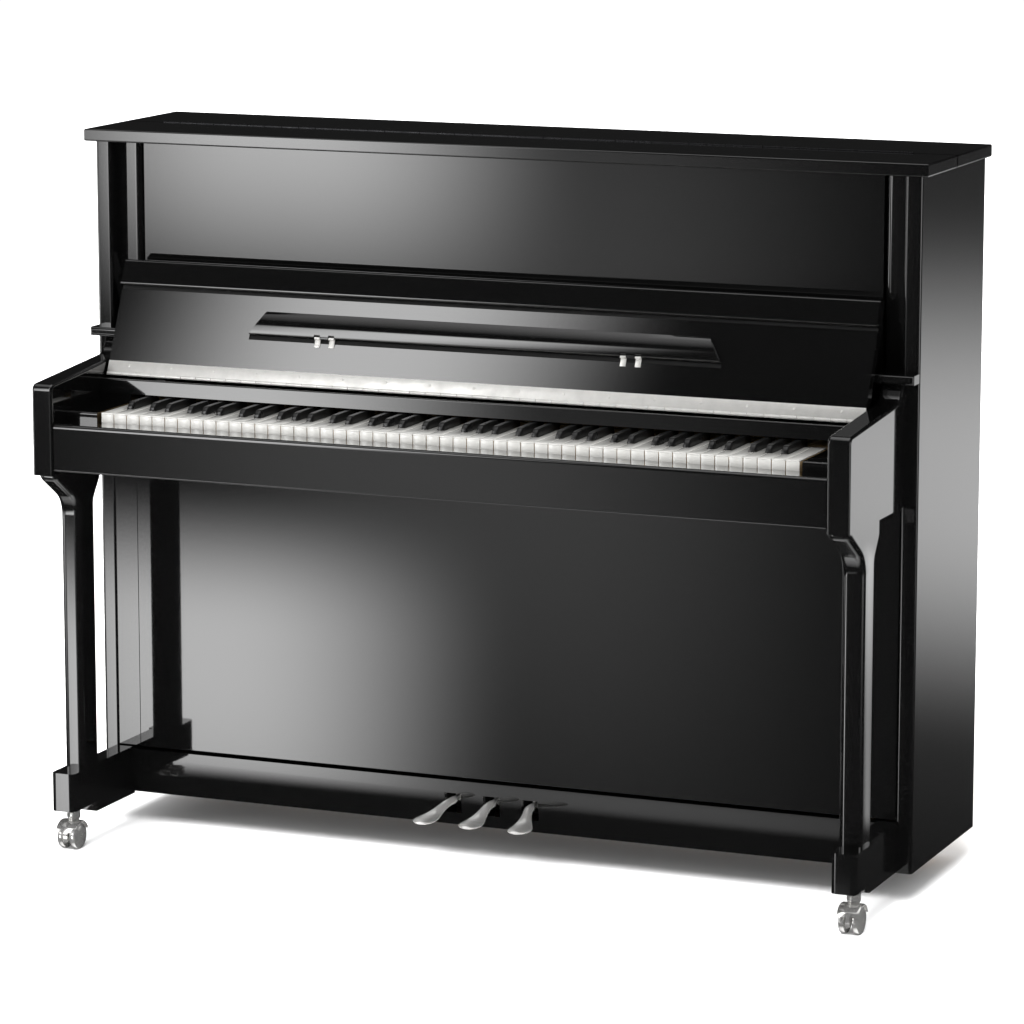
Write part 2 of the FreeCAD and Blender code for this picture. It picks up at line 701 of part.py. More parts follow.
def soundboard():
    """A thin spruce board with a treble and a bass bridge and slanting ribs."""
    half, low, high = D.panel_half, 150, 1060
    board = block("board", (-half, half), (D.board_front, D.board_back), (low, high))
    clip = block("rib_limit", (-half, half), (D.board_back, D.post_front), (low, high))
    ribs = []
    for number in range(9):
        rib = doc.addObject("Part::Box", f"rib_bar_{number + 1}")
        rib.Length, rib.Height = 1900, 24
        rib.setExpression("Width", (D.post_front - D.board_back).text)
        start = Vector(-1150 + 215 * number, D.board_back.value, 100)
        rib.Placement = Placement(start, Rotation(Vector(0, 1, 0), -42))
        ribs.append(rib)
    trimmed = doc.addObject("Part::Common", "ribs")
    trimmed.Base, trimmed.Tool = group("rib_bars", ribs), clip
    bridges = []
    for name, length, x, z, tilt in (("treble_bridge", 1000, -330, 260, -35),
                                     ("bass_bridge", 460, 60, 230, 8)):
        bridge = doc.addObject("Part::Box", name)
        bridge.Length, bridge.Height = length, 32
        bridge.setExpression("Width", (D.board_front - D.plate_back - 1).text)
        bridge.Placement = Placement(Vector(x, D.plate_back.value + 1, z),
                                     Rotation(Vector(0, 1, 0), tilt))
        bridges.append(bridge)
    return group("soundboard", [board, trimmed] + bridges)


keep("soundboard", soundboard())


def iron_plate():
    """The cast plate: a tall frame crossed by nine struts."""
    y = (D.plate_front, D.plate_back)
    blank = block("plate_blank", (-D.panel_half + 2, D.panel_half - 2), y, (110, 1180))
    windows, struts = 8, 9
    opening = (2 * D.panel_half - 60 - 27 * (struts - 2)) / windows
    holes = []
    for number in range(windows):
        left = -D.panel_half + 30 + (opening + 27) * number
        holes.append(block(f"plate_window_{number + 1}", (left, left + opening),
                           (D.plate_front - 5, D.plate_back + 5), (230, 1010)))
    return cut("iron_plate", blank, holes)


keep("iron_plate", iron_plate())


def string_ends():
    """Top and bottom of each string and its radius, bass strings crossing first."""
    ends = []
    for number in range(BASS_STRINGS):
        share = number / (BASS_STRINGS - 1)
        top = Vector(-625 + 270 * share, D.bass_plane.value, 1096)
        foot = Vector(-250 + 330 * share, D.bass_plane.value, 262)
        ends.append((top, foot, 1.6 - 0.4 * share))
    treble = HAMMERS - BASS_STRINGS
    for number in range(treble):
        share = number / (treble - 1)
        x = -320 + 940 * share
        foot = Vector(x, D.string_plane.value, 300 + 640 * share ** 1.4)
        ends.append((Vector(x - 12, D.string_plane.value, 1096), foot, 0.7))
    return ends


string_solids, pin_solids = [], []
PIN_STEP = 18
for number, (top, foot, radius) in enumerate(string_ends()):
    run = top - foot
    string_solids.append(Part.makeCylinder(radius, run.Length, foot, run))
    height = 1104 + PIN_STEP * (number % 3)
    length = D.plate_front.value - 148 - 0.3
    pin_solids.append(Part.makeCylinder(3.5, length, Vector(top.x, 148, height), Vector(0, 1, 0)))
keep("strings", shape_node("strings", Part.makeCompound(string_solids)))
keep("tuning_pins", shape_node("tuning_pins", Part.makeCompound(pin_solids)))

# ----------------------------------------------------------------- action


def comb(profile, thickness, places):
    """Equal upright slices of one YZ outline at the given X places."""
    corners = [Vector(0, y, z) for y, z in profile]
    slice_face = Part.Face(Part.makePolygon(corners + corners[:1]))
    solid = slice_face.extrude(Vector(thickness, 0, 0))
    slices = []
    for x in places:
        piece = solid.copy()
        piece.translate(Vector(x - thickness / 2, 0, 0))
        slices.append(piece)
    return slices


def hammer_x(number):
    return D.hammer_pitch.value * (number - (HAMMERS - 1) / 2)


def moved(profile, y, z):
    return [(y + dy, z + dz) for dy, dz in profile]


HAMMER = [(-7, -4), (7, -4), (7, 18), (3, 18), (-9, 116), (25, 122), (25, 132), (-9, 140),
          (-23, 140), (-15, 116), (-3, 18), (-7, 18)]
WIPPEN = [(62, 800), (118, 800), (118, 810), (94, 812), (94, 878), (88, 878), (88, 812), (62, 810)]
BRACKET = [(60, 790), (116, 790), (122, 830), (116, 1000), (104, 1075), (96, 1075), (100, 900),
           (60, 880)]

hammer_profile = moved(HAMMER, D.butt_y.value, D.butt_z.value)
hammer_solids = comb(hammer_profile, D.hammer_thick.value, map(hammer_x, range(HAMMERS)))
rest_rail = Part.makeBox(1295, 8, 16, Vector(-675, 76, 962))
keep("hammers", shape_node("hammers", Part.makeCompound(hammer_solids + [rest_rail])))

wippens = comb(WIPPEN, 8, map(hammer_x, range(HAMMERS)))
brackets = comb(BRACKET, 3, [hammer_x(number + 0.5) for number in (8, 30, 56, 79)])
main_rail = Part.makeBox(1250, 16, 16, Vector(-625, 100, 882))
action = Part.makeCompound(wippens + [Part.makeCompound(brackets).fuse(main_rail)])
keep("action_frame", shape_node("action_frame", action))


def damper_profile(reach):
    """A damper lever standing on its rod, its felt head reaching towards the strings."""
    return moved([(-3, 0), (3, 0), (9, 84), (reach, 86), (reach, 118), (3, 118)],
                 D.damper_y.value, D.damper_z.value)


BASS_HAMMERS = 30
clearance = 3.5
bass = comb(damper_profile(D.bass_plane.value - clearance - D.damper_y.value), 8,
            map(hammer_x, range(BASS_HAMMERS)))
treble = comb(damper_profile(D.string_plane.value - clearance - D.damper_y.value), 8,
              map(hammer_x, range(BASS_HAMMERS, DAMPERS)))
damper_rod = Part.makeCylinder(4, 1250, Vector(-625, D.damper_y.value, D.damper_z.value),
                               Vector(1, 0, 0))
keep("dampers", shape_node("dampers", damper_rod.fuse(bass + treble)))

keep("muffler_rail", block("muffler_rail", (-625, 625), (146, 152), (D.felt_low, D.felt_high)))

# ----------------------------------------------------------------- pedals


def pedal_section(name, x, y, z, width, thick):
    """One upright oval section of a pedal."""
    oval = doc.addObject("Part::Ellipse", name)
    oval.MajorRadius, oval.MinorRadius = width / 2, thick / 2
    oval.Placement = Placement(Vector(x, y, z), Rotation(Vector(1, 0, 0), 90))
    return oval


def pedal(name, centre, splay, reach):
    """A nickel foot that drops and widens towards its tip, on an eye with a lower tail behind it."""
    stations = [(-10, 101, 13, 12, 0), (-40, 101, 15, 12, 0.05), (-62, 98, 17, 11, 0.3),
                (-82, 91.5, 22, 10, 0.6), (-100, 86.5, 32, 9, 0.85), (-117, 84.5, 39, 8.5, 1),
                (-133, 84, 35, 7.5, 1), (D.pedal_tip.value, 84, 16, 5, 1)]
    ovals = [pedal_section(f"{name}_oval_{number}", centre + splay * share, y, z, width, thick)
             for number, (y, z, width, thick, share) in enumerate(stations)]
    foot = doc.addObject("Part::Loft", name + "_foot")
    foot.Sections, foot.Solid, foot.Ruled = ovals, True, False
    eye = block(name + "_eye", around(Size.of(centre), 6), (-14, D.pedal_pivot_y + 12),
                around(D.pedal_pivot_z, 6))
    tail = block(name + "_tail", around(Size.of(centre), 6), (D.pedal_pivot_y + 8, reach + 8),
                 (D.pedal_pivot_z - 10, D.pedal_pivot_z))
    pusher = rod(name + "_pusher", 5, D.trap_low + 4 - D.pedal_pivot_z,
                 (centre, reach, D.pedal_pivot_z - 5), "z")
    hole = rod(name + "_pin_hole", D.pin_radius + D.run_gap, 40,
               (centre - 20, D.pedal_pivot_y, D.pedal_pivot_z), "x")
    return cut(name, joined(name + "_blank", [foot, eye, tail, pusher]), [hole])


for number, (label, splay) in enumerate(zip(PEDALS, (-16, -3, 15))):
    centre = D.pedal_pitch.value * (number - 1)
    reach = D.trap_y + D.trap_pitch_y * number
    keep(f"pedal_{label}", pedal(f"pedal_{label}", centre, splay, reach))
    lever_x = (D.rod_first_x + D.rod_pitch * number, centre + D.trap_reach)
    keep(f"trap_lever_{label}", block(f"trap_lever_{label}", (lever_x[0] - 6, lever_x[1] + 12),
                                      around(reach, 7), (D.trap_low, D.trap_high)))
    rod_top = (945, 1000, 845)[number]
    keep(f"pedal_rod_{label}", rod(f"pedal_rod_{label}", D.rod_radius,
                                   rod_top - D.trap_high - 0.5,
                                   (lever_x[0], reach, D.trap_high + 0.5), "z"))

# ---------------------------------------------------------------- casters


def caster_fork(name, side):
    """Swivel stem, web, hood over the twin wheels and axle of a front caster."""
    x = D.caster_x * side
    half = D.web_half + 0.5 + D.wheel_width
    foot = 2 * D.wheel_radius.value + 2
    stem = rod(name + "_stem", 9, D.toe_head_bottom - 0.3 - foot, (x, D.caster_stem_y, foot), "z")
    flange = rod(name + "_flange", 17, 4, (x, D.caster_stem_y, D.toe_head_bottom - 4.3), "z")
    web_y = (D.caster_axle_y - 9, D.caster_stem_y + 9)
    web = block(name + "_web", around(x, D.web_half), web_y, (D.wheel_radius - 6, 50))
    axle = rod(name + "_axle", D.pin_radius, 2 * half, (x - half, D.caster_axle_y, D.wheel_radius), "x")
    shell = rod(name + "_shell", D.wheel_radius + 4, 2 * half,
                (x - half, D.caster_axle_y, D.wheel_radius), "x")
    space = rod(name + "_space", D.wheel_radius + 1.5, 2 * half + 2,
                (x - half - 1, D.caster_axle_y, D.wheel_radius), "x")
    below = block(name + "_below", around(x, half + 1), around(D.caster_axle_y, 40),
                  (-10, D.wheel_radius + 10))
    hood = cut(name + "_hood", shell, [space, below])
    return joined(name, [stem, flange, web, hood, axle])


def wheel(name, x_low, y, z, radius, width):
    """A wheel with an axle hole, its axis along X."""
    disc = rod(name + "_disc", radius, width, (x_low, y, z), "x")
    hole = rod(name + "_hole", D.pin_radius + D.run_gap, width + 2, (x_low - 1, y, z), "x")
    return cut(name, disc, [hole])


for label, side in SIDES:
    keep(f"caster_fork_{label}", caster_fork(f"caster_fork_{label}", side))
    x = D.caster_x * side
    twins = [wheel(f"caster_{label}_wheel_{hand}", x + start, D.caster_axle_y, D.wheel_radius,
                   D.wheel_radius, D.wheel_width)
             for hand, start in (("near", -D.web_half - 0.5 - D.wheel_width),
                                 ("far", D.web_half + 0.5))]
    keep(f"caster_wheel_{label}", group(f"caster_wheel_{label}", twins))

REAR_RADIUS, REAR_WIDTH = 22, 24
brackets, rollers = [], []
for label, side in SIDES:
    x = D.rear_caster_x * side
    plate = block(f"rear_plate_{label}", around(x, 24), around(D.rear_caster_y, 26),
                  (D.rail_low - 5, D.rail_low))
    cheeks = [block(f"rear_cheek_{label}_{hand}", (x + low, x + low + 4),
                    around(D.rear_caster_y, 11), (REAR_RADIUS - 7, D.rail_low - 5))
              for hand, low in (("near", -REAR_WIDTH / 2 - 5), ("far", REAR_WIDTH / 2 + 1))]
    axle = rod(f"rear_axle_{label}", D.pin_radius, REAR_WIDTH + 14,
               (x - REAR_WIDTH / 2 - 7, D.rear_caster_y, REAR_RADIUS), "x")
    brackets.append(joined(f"rear_bracket_{label}", [plate, axle] + cheeks))
    rollers.append(wheel(f"rear_roller_{label}", x - REAR_WIDTH / 2, D.rear_caster_y,
                         REAR_RADIUS, REAR_RADIUS, REAR_WIDTH))
keep("rear_caster_brackets", group("rear_caster_brackets", brackets))
keep("rear_caster_wheels", group("rear_caster_wheels", rollers))

# ------------------------------------------------------------------ export

doc.recompute()
for obj in doc.Objects:
    if "Invalid" in obj.State or "Error" in obj.State:
        raise RuntimeError(f"{obj.Name}: {obj.State}")

os.makedirs("parts", exist_ok=True)
whole = FreeCAD.BoundBox()
for obj in nodes:
    if obj.Shape.isNull() or not obj.Shape.isValid() or not obj.Shape.Solids:
        raise RuntimeError(f"{obj.Label}: no valid solid")
    whole.add(obj.Shape.BoundBox)
    obj.Shape.exportStep(f"parts/{obj.Label}.step")
print(len(nodes), "pieces,", sum(len(obj.Shape.Solids) for obj in nodes), "solids,", whole)
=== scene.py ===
import json
import math

import bmesh
import bpy
from mathutils import Matrix, Vector


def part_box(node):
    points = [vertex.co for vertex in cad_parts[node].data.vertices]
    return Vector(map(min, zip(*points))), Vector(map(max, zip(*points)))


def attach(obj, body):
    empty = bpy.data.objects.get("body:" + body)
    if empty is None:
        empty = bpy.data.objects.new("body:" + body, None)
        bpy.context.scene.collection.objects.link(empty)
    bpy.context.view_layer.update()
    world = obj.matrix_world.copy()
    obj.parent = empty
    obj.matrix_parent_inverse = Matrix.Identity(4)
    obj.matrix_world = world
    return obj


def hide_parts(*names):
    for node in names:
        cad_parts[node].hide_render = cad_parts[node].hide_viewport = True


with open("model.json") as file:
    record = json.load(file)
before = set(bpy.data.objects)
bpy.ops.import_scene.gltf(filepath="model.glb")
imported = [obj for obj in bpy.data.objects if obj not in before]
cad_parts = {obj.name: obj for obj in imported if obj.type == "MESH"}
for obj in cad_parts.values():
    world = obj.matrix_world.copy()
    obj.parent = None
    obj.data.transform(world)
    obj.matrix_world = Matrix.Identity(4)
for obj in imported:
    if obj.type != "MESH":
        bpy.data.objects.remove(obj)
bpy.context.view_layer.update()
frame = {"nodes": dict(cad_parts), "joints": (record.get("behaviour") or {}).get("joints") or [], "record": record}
NODES = frame["nodes"]
JOINT_AT = {row["name"]: Vector(row["pos_m"]) for row in frame["joints"] if "pos_m" in row}
COLLECTION = bpy.context.scene.collection
MM = 0.001


# ------------------------------------------------------------------ camera

CAMERA_TARGET = Vector((0.0126, 0.0185, 0.5903))
CAMERA_AZIMUTH, CAMERA_ELEVATION = math.radians(22.64), math.radians(10.39)
CAMERA_DISTANCE = 7.591
CAMERA_LENS = 159.9          # mm
CAMERA_SEES = 60             # metres


def add_camera():
    data = bpy.data.cameras.new("camera")
    data.lens = CAMERA_LENS
    data.dof.use_dof = False
    data.clip_end = CAMERA_SEES
    camera = bpy.data.objects.new("camera", data)
    COLLECTION.objects.link(camera)
    azimuth, elevation = CAMERA_AZIMUTH, CAMERA_ELEVATION
    back = Vector((math.sin(azimuth) * math.cos(elevation),
                   -math.cos(azimuth) * math.cos(elevation), math.sin(elevation)))
    camera.location = CAMERA_TARGET + back * CAMERA_DISTANCE
    camera.rotation_euler = (-back).to_track_quat("-Z", "Y").to_euler()
    bpy.context.scene.camera = camera


add_camera()


# --------------------------------------------------------------- node trees

class Tree:
    """A material's, light's or world's node tree, with short calls to fill it."""

    def __init__(self, owner):
        owner.use_nodes = True
        self.nodes, self.links = owner.node_tree.nodes, owner.node_tree.links
        self.nodes.clear()

    def add(self, kind, inputs=None, **settings):
        node = self.nodes.new(kind)
        for name, value in settings.items():
            setattr(node, name, value)
        for name, value in (inputs or {}).items():
            self.put(node.inputs[name], value)
        return node

    def put(self, socket, value):
        if isinstance(value, bpy.types.NodeSocket):
            self.links.new(value, socket)
        else:
            socket.default_value = value

    def math(self, operation, a, b=0.5):
        return self.add("ShaderNodeMath", {0: a, 1: b}, operation=operation).outputs[0]

    def levels(self, value, low, high, to_low=0.0, to_high=1.0):
        """The value's range from low to high, spread over to_low to to_high."""
        node = self.add("ShaderNodeMapRange", {"Value": value, "From Min": low, "From Max": high,
                                               "To Min": to_low, "To Max": to_high})
        return node.outputs["Result"]

    def mix(self, factor, a, b):
        node = self.add("ShaderNodeMix", data_type="RGBA")
        for socket, value in zip((node.inputs[0], node.inputs[6], node.inputs[7]), (factor, a, b)):
            self.put(socket, value)
        return node.outputs[2]

    def place(self, stretch=(1, 1, 1)):
        """The point on the object, in metres, stretched along its axes."""
        coordinates = self.add("ShaderNodeTexCoord")
        mapping = self.add("ShaderNodeMapping", {"Vector": coordinates.outputs["Object"],
                                                 "Scale": stretch})
        return mapping.outputs["Vector"]

    def along(self, axis):
        """One coordinate of the point on the object, in metres."""
        return self.add("ShaderNodeSeparateXYZ", {0: self.place()}).outputs[axis]

    def upright_between(self, heights, outside, inside):
        """The inside vector for points between two heights, else the outside one."""
        z = self.along(2)
        above = self.math("GREATER_THAN", z, heights[0])
        below = self.math("LESS_THAN", z, heights[1])
        node = self.add("ShaderNodeMix", data_type="VECTOR")
        self.put(node.inputs[0], self.math("MULTIPLY", above, below))
        self.put(node.inputs[4], outside)
        self.put(node.inputs[5], inside)
        return node.outputs[1]

    def noise(self, scale, detail, stretch=(1, 1, 1)):
        node = self.add("ShaderNodeTexNoise", {"Vector": self.place(stretch), "Scale": scale,
                                               "Detail": detail})
        return node.outputs["Fac"]

    def bump(self, height, distance):
        """Relief whose full height is distance, in metres."""
        node = self.add("ShaderNodeBump", {"Height": height, "Distance": distance, "Strength": 1.0})
        return node.outputs["Normal"]

    def end_with(self, shader, output):
        self.links.new(shader.outputs[0], self.add(output).inputs[0])

    def surface(self, inputs):
        """A principled shader as the whole surface of the material."""
        self.end_with(self.add("ShaderNodeBsdfPrincipled", inputs), "ShaderNodeOutputMaterial")


# ---------------------------------------------------------------- materials

def grey(value):
    return (value, value, value, 1)


def new_material(name):
    """A material and the tree that fills it."""
    material = bpy.data.materials.new(name)
    return material, Tree(material)


def polished_black(name):
    """Black polyester lacquer, buffed to a mirror: faint orange peel, dust and buffing haze."""
    material, tree = new_material(name)
    haze = tree.noise(3.0, 4.0)
    dust = tree.levels(tree.noise(900.0, 2.0), 0.66, 0.80)
    colour = tree.mix(dust, grey(0.0032), grey(0.016))
    roughness = tree.math("ADD", tree.levels(haze, 0.3, 0.7, 0.045, 0.075),
                          tree.math("MULTIPLY", dust, 0.12))
    peel = tree.bump(tree.noise(160.0, 2.0), 0.02 * MM)
    tree.surface({"Base Color": colour, "Roughness": roughness, "IOR": 1.55, "Normal": peel,
                  "Coat Weight": 1.0, "Coat Roughness": 0.02, "Coat IOR": 1.6})
    return material


def worn_metal(name, roughness, tint, metallic=1.0):
    """Plated or bare metal, worn darker in clouds, with fine handling scratches."""
    material, tree = new_material(name)
    wear = tree.noise(45.0, 5.0)
    scratches = tree.noise(420.0, 3.0, (1, 0.12, 1))
    colour = tree.mix(tree.levels(wear, 0.35, 0.75), tint, tuple(c * 0.86 for c in tint[:3]) + (1,))
    rough = tree.math("ADD", tree.levels(wear, 0.3, 0.7, *roughness),
                      tree.levels(scratches, 0.5, 0.8, 0.0, 0.08))
    tree.surface({"Base Color": colour, "Metallic": metallic, "Roughness": rough,
                  "Normal": tree.bump(scratches, 0.02 * MM)})
    return material


ALONG_X, ALONG_Y, ALONG_Z = (0.08, 1, 1), (1, 0.08, 1), (1, 1, 0.08)     # directions of grain


def wood(name, light, dark, grain, scale=9.0, roughness=0.5, coat=0.0, posts=None):
    """Straight-grained wood; grain is the pattern's stretch, smallest along the fibres.

    posts is the height range of upright posts, whose grain runs along Z instead.
    """
    material, tree = new_material(name)
    spot = tree.place(grain)
    if posts is not None:
        spot = tree.upright_between(posts, spot, tree.place(ALONG_Z))
    rings = tree.add("ShaderNodeTexNoise", {"Vector": spot, "Scale": scale,
                                            "Detail": 6.0, "Distortion": 0.6}).outputs["Fac"]
    fibres = tree.add("ShaderNodeTexNoise", {"Vector": spot, "Scale": scale * 14, "Detail": 4.0,
                                             "Roughness": 0.7}).outputs["Fac"]
    blend = tree.levels(tree.math("ADD", rings, tree.math("MULTIPLY", fibres, 0.5)), 0.55, 0.95)
    colour = tree.mix(blend, light, dark)
    patches = tree.levels(tree.noise(2.2, 2.0), 0.3, 0.7, 0.9, 1.06)
    tone = tree.add("ShaderNodeHueSaturation", {"Color": colour, "Value": patches})
    tree.surface({"Base Color": tone.outputs["Color"],
                  "Roughness": tree.levels(fibres, 0.3, 0.8, roughness - 0.08, roughness + 0.1),
                  "Normal": tree.bump(fibres, 0.25 * MM), "Coat Weight": coat,
                  "Coat Roughness": 0.15})
    return material


def felt_cloth(name, tone, deep):
    """Pressed wool felt: mottled, matt and fuzzy."""
    material, tree = new_material(name)
    clumps, fuzz = tree.noise(160.0, 5.0), tree.noise(1400.0, 2.0)
    colour = tree.mix(tree.levels(clumps, 0.3, 0.7), deep, tone)
    tree.surface({"Base Color": colour, "Roughness": tree.levels(fuzz, 0.3, 0.7, 0.88, 1.0),
                  "Sheen Weight": 0.4, "Sheen Roughness": 0.5, "Specular IOR Level": 0.2,
                  "Normal": tree.bump(fuzz, 0.4 * MM)})
    return material


def plastic(name, tone, deep, roughness, peel, coat=0.0):
    """Moulded or sawn plastic: cloudy tone and gloss over a fine skin of height peel."""
    material, tree = new_material(name)
    marks = tree.noise(24.0, 5.0)
    colour = tree.mix(tree.levels(marks, 0.3, 0.75), tone, deep)
    tree.surface({"Base Color": colour, "Roughness": tree.levels(marks, 0.3, 0.7, *roughness),
                  "Normal": tree.bump(tree.noise(500.0, 2.0), peel), "Coat Weight": coat,
                  "Coat Roughness": 0.06})
    return material


WINDING = 5200.0                  # of the copper on a bass string, in radians a metre


def piano_wire(name, bass_limit):
    """Plain steel wire, and copper windings on the bass strings, in front of Y = bass_limit."""
    material, tree = new_material(name)
    bass = tree.math("LESS_THAN", tree.along(1), bass_limit)
    tarnish = tree.levels(tree.noise(30.0, 4.0), 0.35, 0.7)
    copper = tree.mix(tarnish, (0.66, 0.28, 0.12, 1), (0.46, 0.19, 0.09, 1))
    steel = tree.mix(tarnish, (0.56, 0.56, 0.57, 1), (0.44, 0.44, 0.45, 1))
    turns = tree.math("SINE", tree.math("MULTIPLY", tree.along(2), WINDING))
    height = tree.math("MULTIPLY", turns, bass)
    tree.surface({"Base Color": tree.mix(bass, steel, copper), "Metallic": 1.0,
                  "Roughness": tree.levels(tarnish, 0.0, 1.0, 0.24, 0.4),
                  "Normal": tree.bump(height, 0.15 * MM)})
    return material


def cast_gold(name):
    """Bronze-gold paint over the pebbled skin of cast iron."""
    material, tree = new_material(name)
    skin, cloud = tree.noise(260.0, 3.0), tree.noise(6.0, 3.0)
    colour = tree.mix(tree.levels(cloud, 0.3, 0.7), (0.52, 0.34, 0.11, 1), (0.42, 0.26, 0.075, 1))
    tree.surface({"Base Color": colour, "Metallic": 0.75,
                  "Roughness": tree.levels(skin, 0.3, 0.7, 0.34, 0.5),
                  "Normal": tree.bump(skin, 0.4 * MM)})
    return material


BLACK = polished_black("polished_black")
NICKEL = worn_metal("polished_nickel", (0.08, 0.18), (0.93, 0.92, 0.90, 1), 0.62)
CASTER_NICKEL = worn_metal("caster_nickel", (0.08, 0.18), (0.90, 0.89, 0.87, 1), 0.86)
SATIN_NICKEL = worn_metal("satin_nickel", (0.32, 0.46), (0.88, 0.87, 0.84, 1), 0.6)
STEEL = worn_metal("plain_steel", (0.28, 0.42), (0.42, 0.42, 0.43, 1))
BLACK_STEEL = worn_metal("blackened_steel", (0.22, 0.34), (0.035, 0.035, 0.037, 1))
PALE_BEECH, DEEP_BEECH = (0.50, 0.31, 0.15, 1), (0.34, 0.19, 0.085, 1)
BEECH = wood("sealed_beech", PALE_BEECH, DEEP_BEECH, ALONG_Z)
BEECH_LONG = wood("sealed_beech_long", PALE_BEECH, DEEP_BEECH, ALONG_X)
BACK_WOOD = wood("back_frame_beech", (0.46, 0.29, 0.15, 1), (0.33, 0.19, 0.09, 1), ALONG_X,
                 posts=(0.15, 1.09))
DARK_STAIN = wood("dark_stained_board", (0.040, 0.036, 0.033, 1), (0.022, 0.020, 0.019, 1),
                  ALONG_X, roughness=0.6)
KEY_WOOD = wood("key_spruce", (0.72, 0.53, 0.30, 1), (0.60, 0.40, 0.19, 1), ALONG_Y)
SPRUCE = wood("varnished_spruce", (0.66, 0.43, 0.20, 1), (0.50, 0.29, 0.11, 1), (0.6, 1, 0.6),
              scale=14.0, roughness=0.35, coat=0.6)
KEY_WHITE = plastic("key_acrylic", (0.83, 0.82, 0.79, 1), (0.79, 0.78, 0.74, 1), (0.12, 0.2),
                    0.01 * MM, coat=0.5)
KEY_BLACK = plastic("key_black_caps", grey(0.010), grey(0.016), (0.26, 0.36), 0.04 * MM, coat=0.3)
FELT = felt_cloth("pressed_felt", (0.78, 0.75, 0.67, 1), (0.66, 0.62, 0.53, 1))
# a matt black sheet for the fallboard's grooves: painted shade, standing in for the shadow inside them
GROOVE_SHADE_BLACK = plastic("painted_shade_lining", grey(0.006), grey(0.010), (0.8, 0.9), 0.06 * MM)
RUBBER = plastic("caster_rubber", grey(0.02), grey(0.032), (0.55, 0.7), 0.1 * MM)
GOLD_IRON = cast_gold("gold_cast_iron")
BASS_DEPTH = 4.5 * MM             # the bass strings lie this far in front of the hindmost ones
STRING_WIRE = piano_wire("string_wire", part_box("strings")[1][1] - BASS_DEPTH)

# by the material slot that the record gives a node, and by the node where that isn't enough
NODE_MATERIALS = {
    "black_polish": BLACK, "frame_wood": BEECH_LONG, "spruce": SPRUCE, "key_white": KEY_WHITE,
    "key_black": KEY_BLACK, "nickel": NICKEL, "steel": STEEL, "gold_iron": GOLD_IRON,
    "felt": FELT, "rubber_tread": RUBBER, "black_hinge": BLACK_STEEL}
OWN_MATERIALS = {"back_frame": BACK_WOOD, "bottom_board": DARK_STAIN, "keybed": DARK_STAIN,
                 "strings": STRING_WIRE}

SEAM = 0.02 * MM                  # points of a CAD mesh closer than this are one point
CREASE = math.radians(32)         # edges sharper than this stay sharp
FLAT_FACES = 90                   # how strongly the large faces rule the shading


def finish_cad_nodes():
    """Give every CAD node its material, and smooth its rounded edges without moving a vertex."""
    slots = {row["node"]: row["material_slot"] for row in frame["record"]["subparts"]}
    for name, node in NODES.items():
        mesh = node.data
        if "custom_normal" in mesh.attributes:
            mesh.attributes.remove(mesh.attributes["custom_normal"])
        mesh.polygons.foreach_set("use_smooth", [True] * len(mesh.polygons))
        weld = node.modifiers.new("weld", "WELD")
        weld.merge_threshold = SEAM
        split = node.modifiers.new("creases", "EDGE_SPLIT")
        split.split_angle = CREASE
        flat = node.modifiers.new("flat_faces", "WEIGHTED_NORMAL")
        flat.weight = FLAT_FACES
        mesh.materials.clear()
        mesh.materials.append(OWN_MATERIALS.get(name, NODE_MATERIALS[slots[name]]))


finish_cad_nodes()


# ------------------------------------------------------------- mesh helpers

AXES = {"x": Vector((1, 0, 0)), "y": Vector((0, 1, 0)), "z": Vector((0, 0, 1))}
ONE_POINT = 0.01 * MM             # points of a copied mesh closer than this are merged


def joined_copy(node):
    """A bmesh copy of a CAD node, with its faces joined along their edges."""
    bm = bmesh.new()
    bm.from_mesh(NODES[node].data)
    bmesh.ops.remove_doubles(bm, verts=bm.verts, dist=ONE_POINT)
    return bm


def solids_of(node):
    """Low and high corners of each separate solid of a CAD node, from left to right."""
    bm = joined_copy(node)
    bm.verts.ensure_lookup_table()
    seen, found = set(), []
    for start in bm.verts:
        if start.index in seen:
            continue
        seen.add(start.index)
        queue, members = [start], []
        while queue:
            vert = queue.pop()
            members.append(vert.co)
            for edge in vert.link_edges:
                other = edge.other_vert(vert)
                if other.index not in seen:
                    seen.add(other.index)
                    queue.append(other)
        low = Vector([min(co[axis] for co in members) for axis in range(3)])
        high = Vector([max(co[axis] for co in members) for axis in range(3)])
        found.append((low, high))
    bm.free()
    return sorted(found, key=lambda pair: pair[0].x)


def rounded_box(bm, low, high, radius, segments=2):
    """Add a box from its low to its high corner, with rounded edges."""
    verts = bmesh.ops.create_cube(bm, size=1.0)["verts"]
    for vert in verts:
        vert.co = Vector([low[i] + (high[i] - low[i]) * (vert.co[i] + 0.5) for i in range(3)])
    edges = list({edge for vert in verts for edge in vert.link_edges})
    bmesh.ops.bevel(bm, geom=edges, offset=radius, segments=segments, profile=0.5,
                    affect="EDGES", clamp_overlap=True)


def loft(bm, rings):
    """Skin equal rings of points and close both ends."""
    rows = [[bm.verts.new(point) for point in ring] for ring in rings]
    count = len(rows[0])
    for row, following in zip(rows, rows[1:]):
        for i in range(count):
            j = (i + 1) % count
            bm.faces.new((row[i], row[j], following[j], following[i]))
    bm.faces.new(list(reversed(rows[0])))
    bm.faces.new(rows[-1])


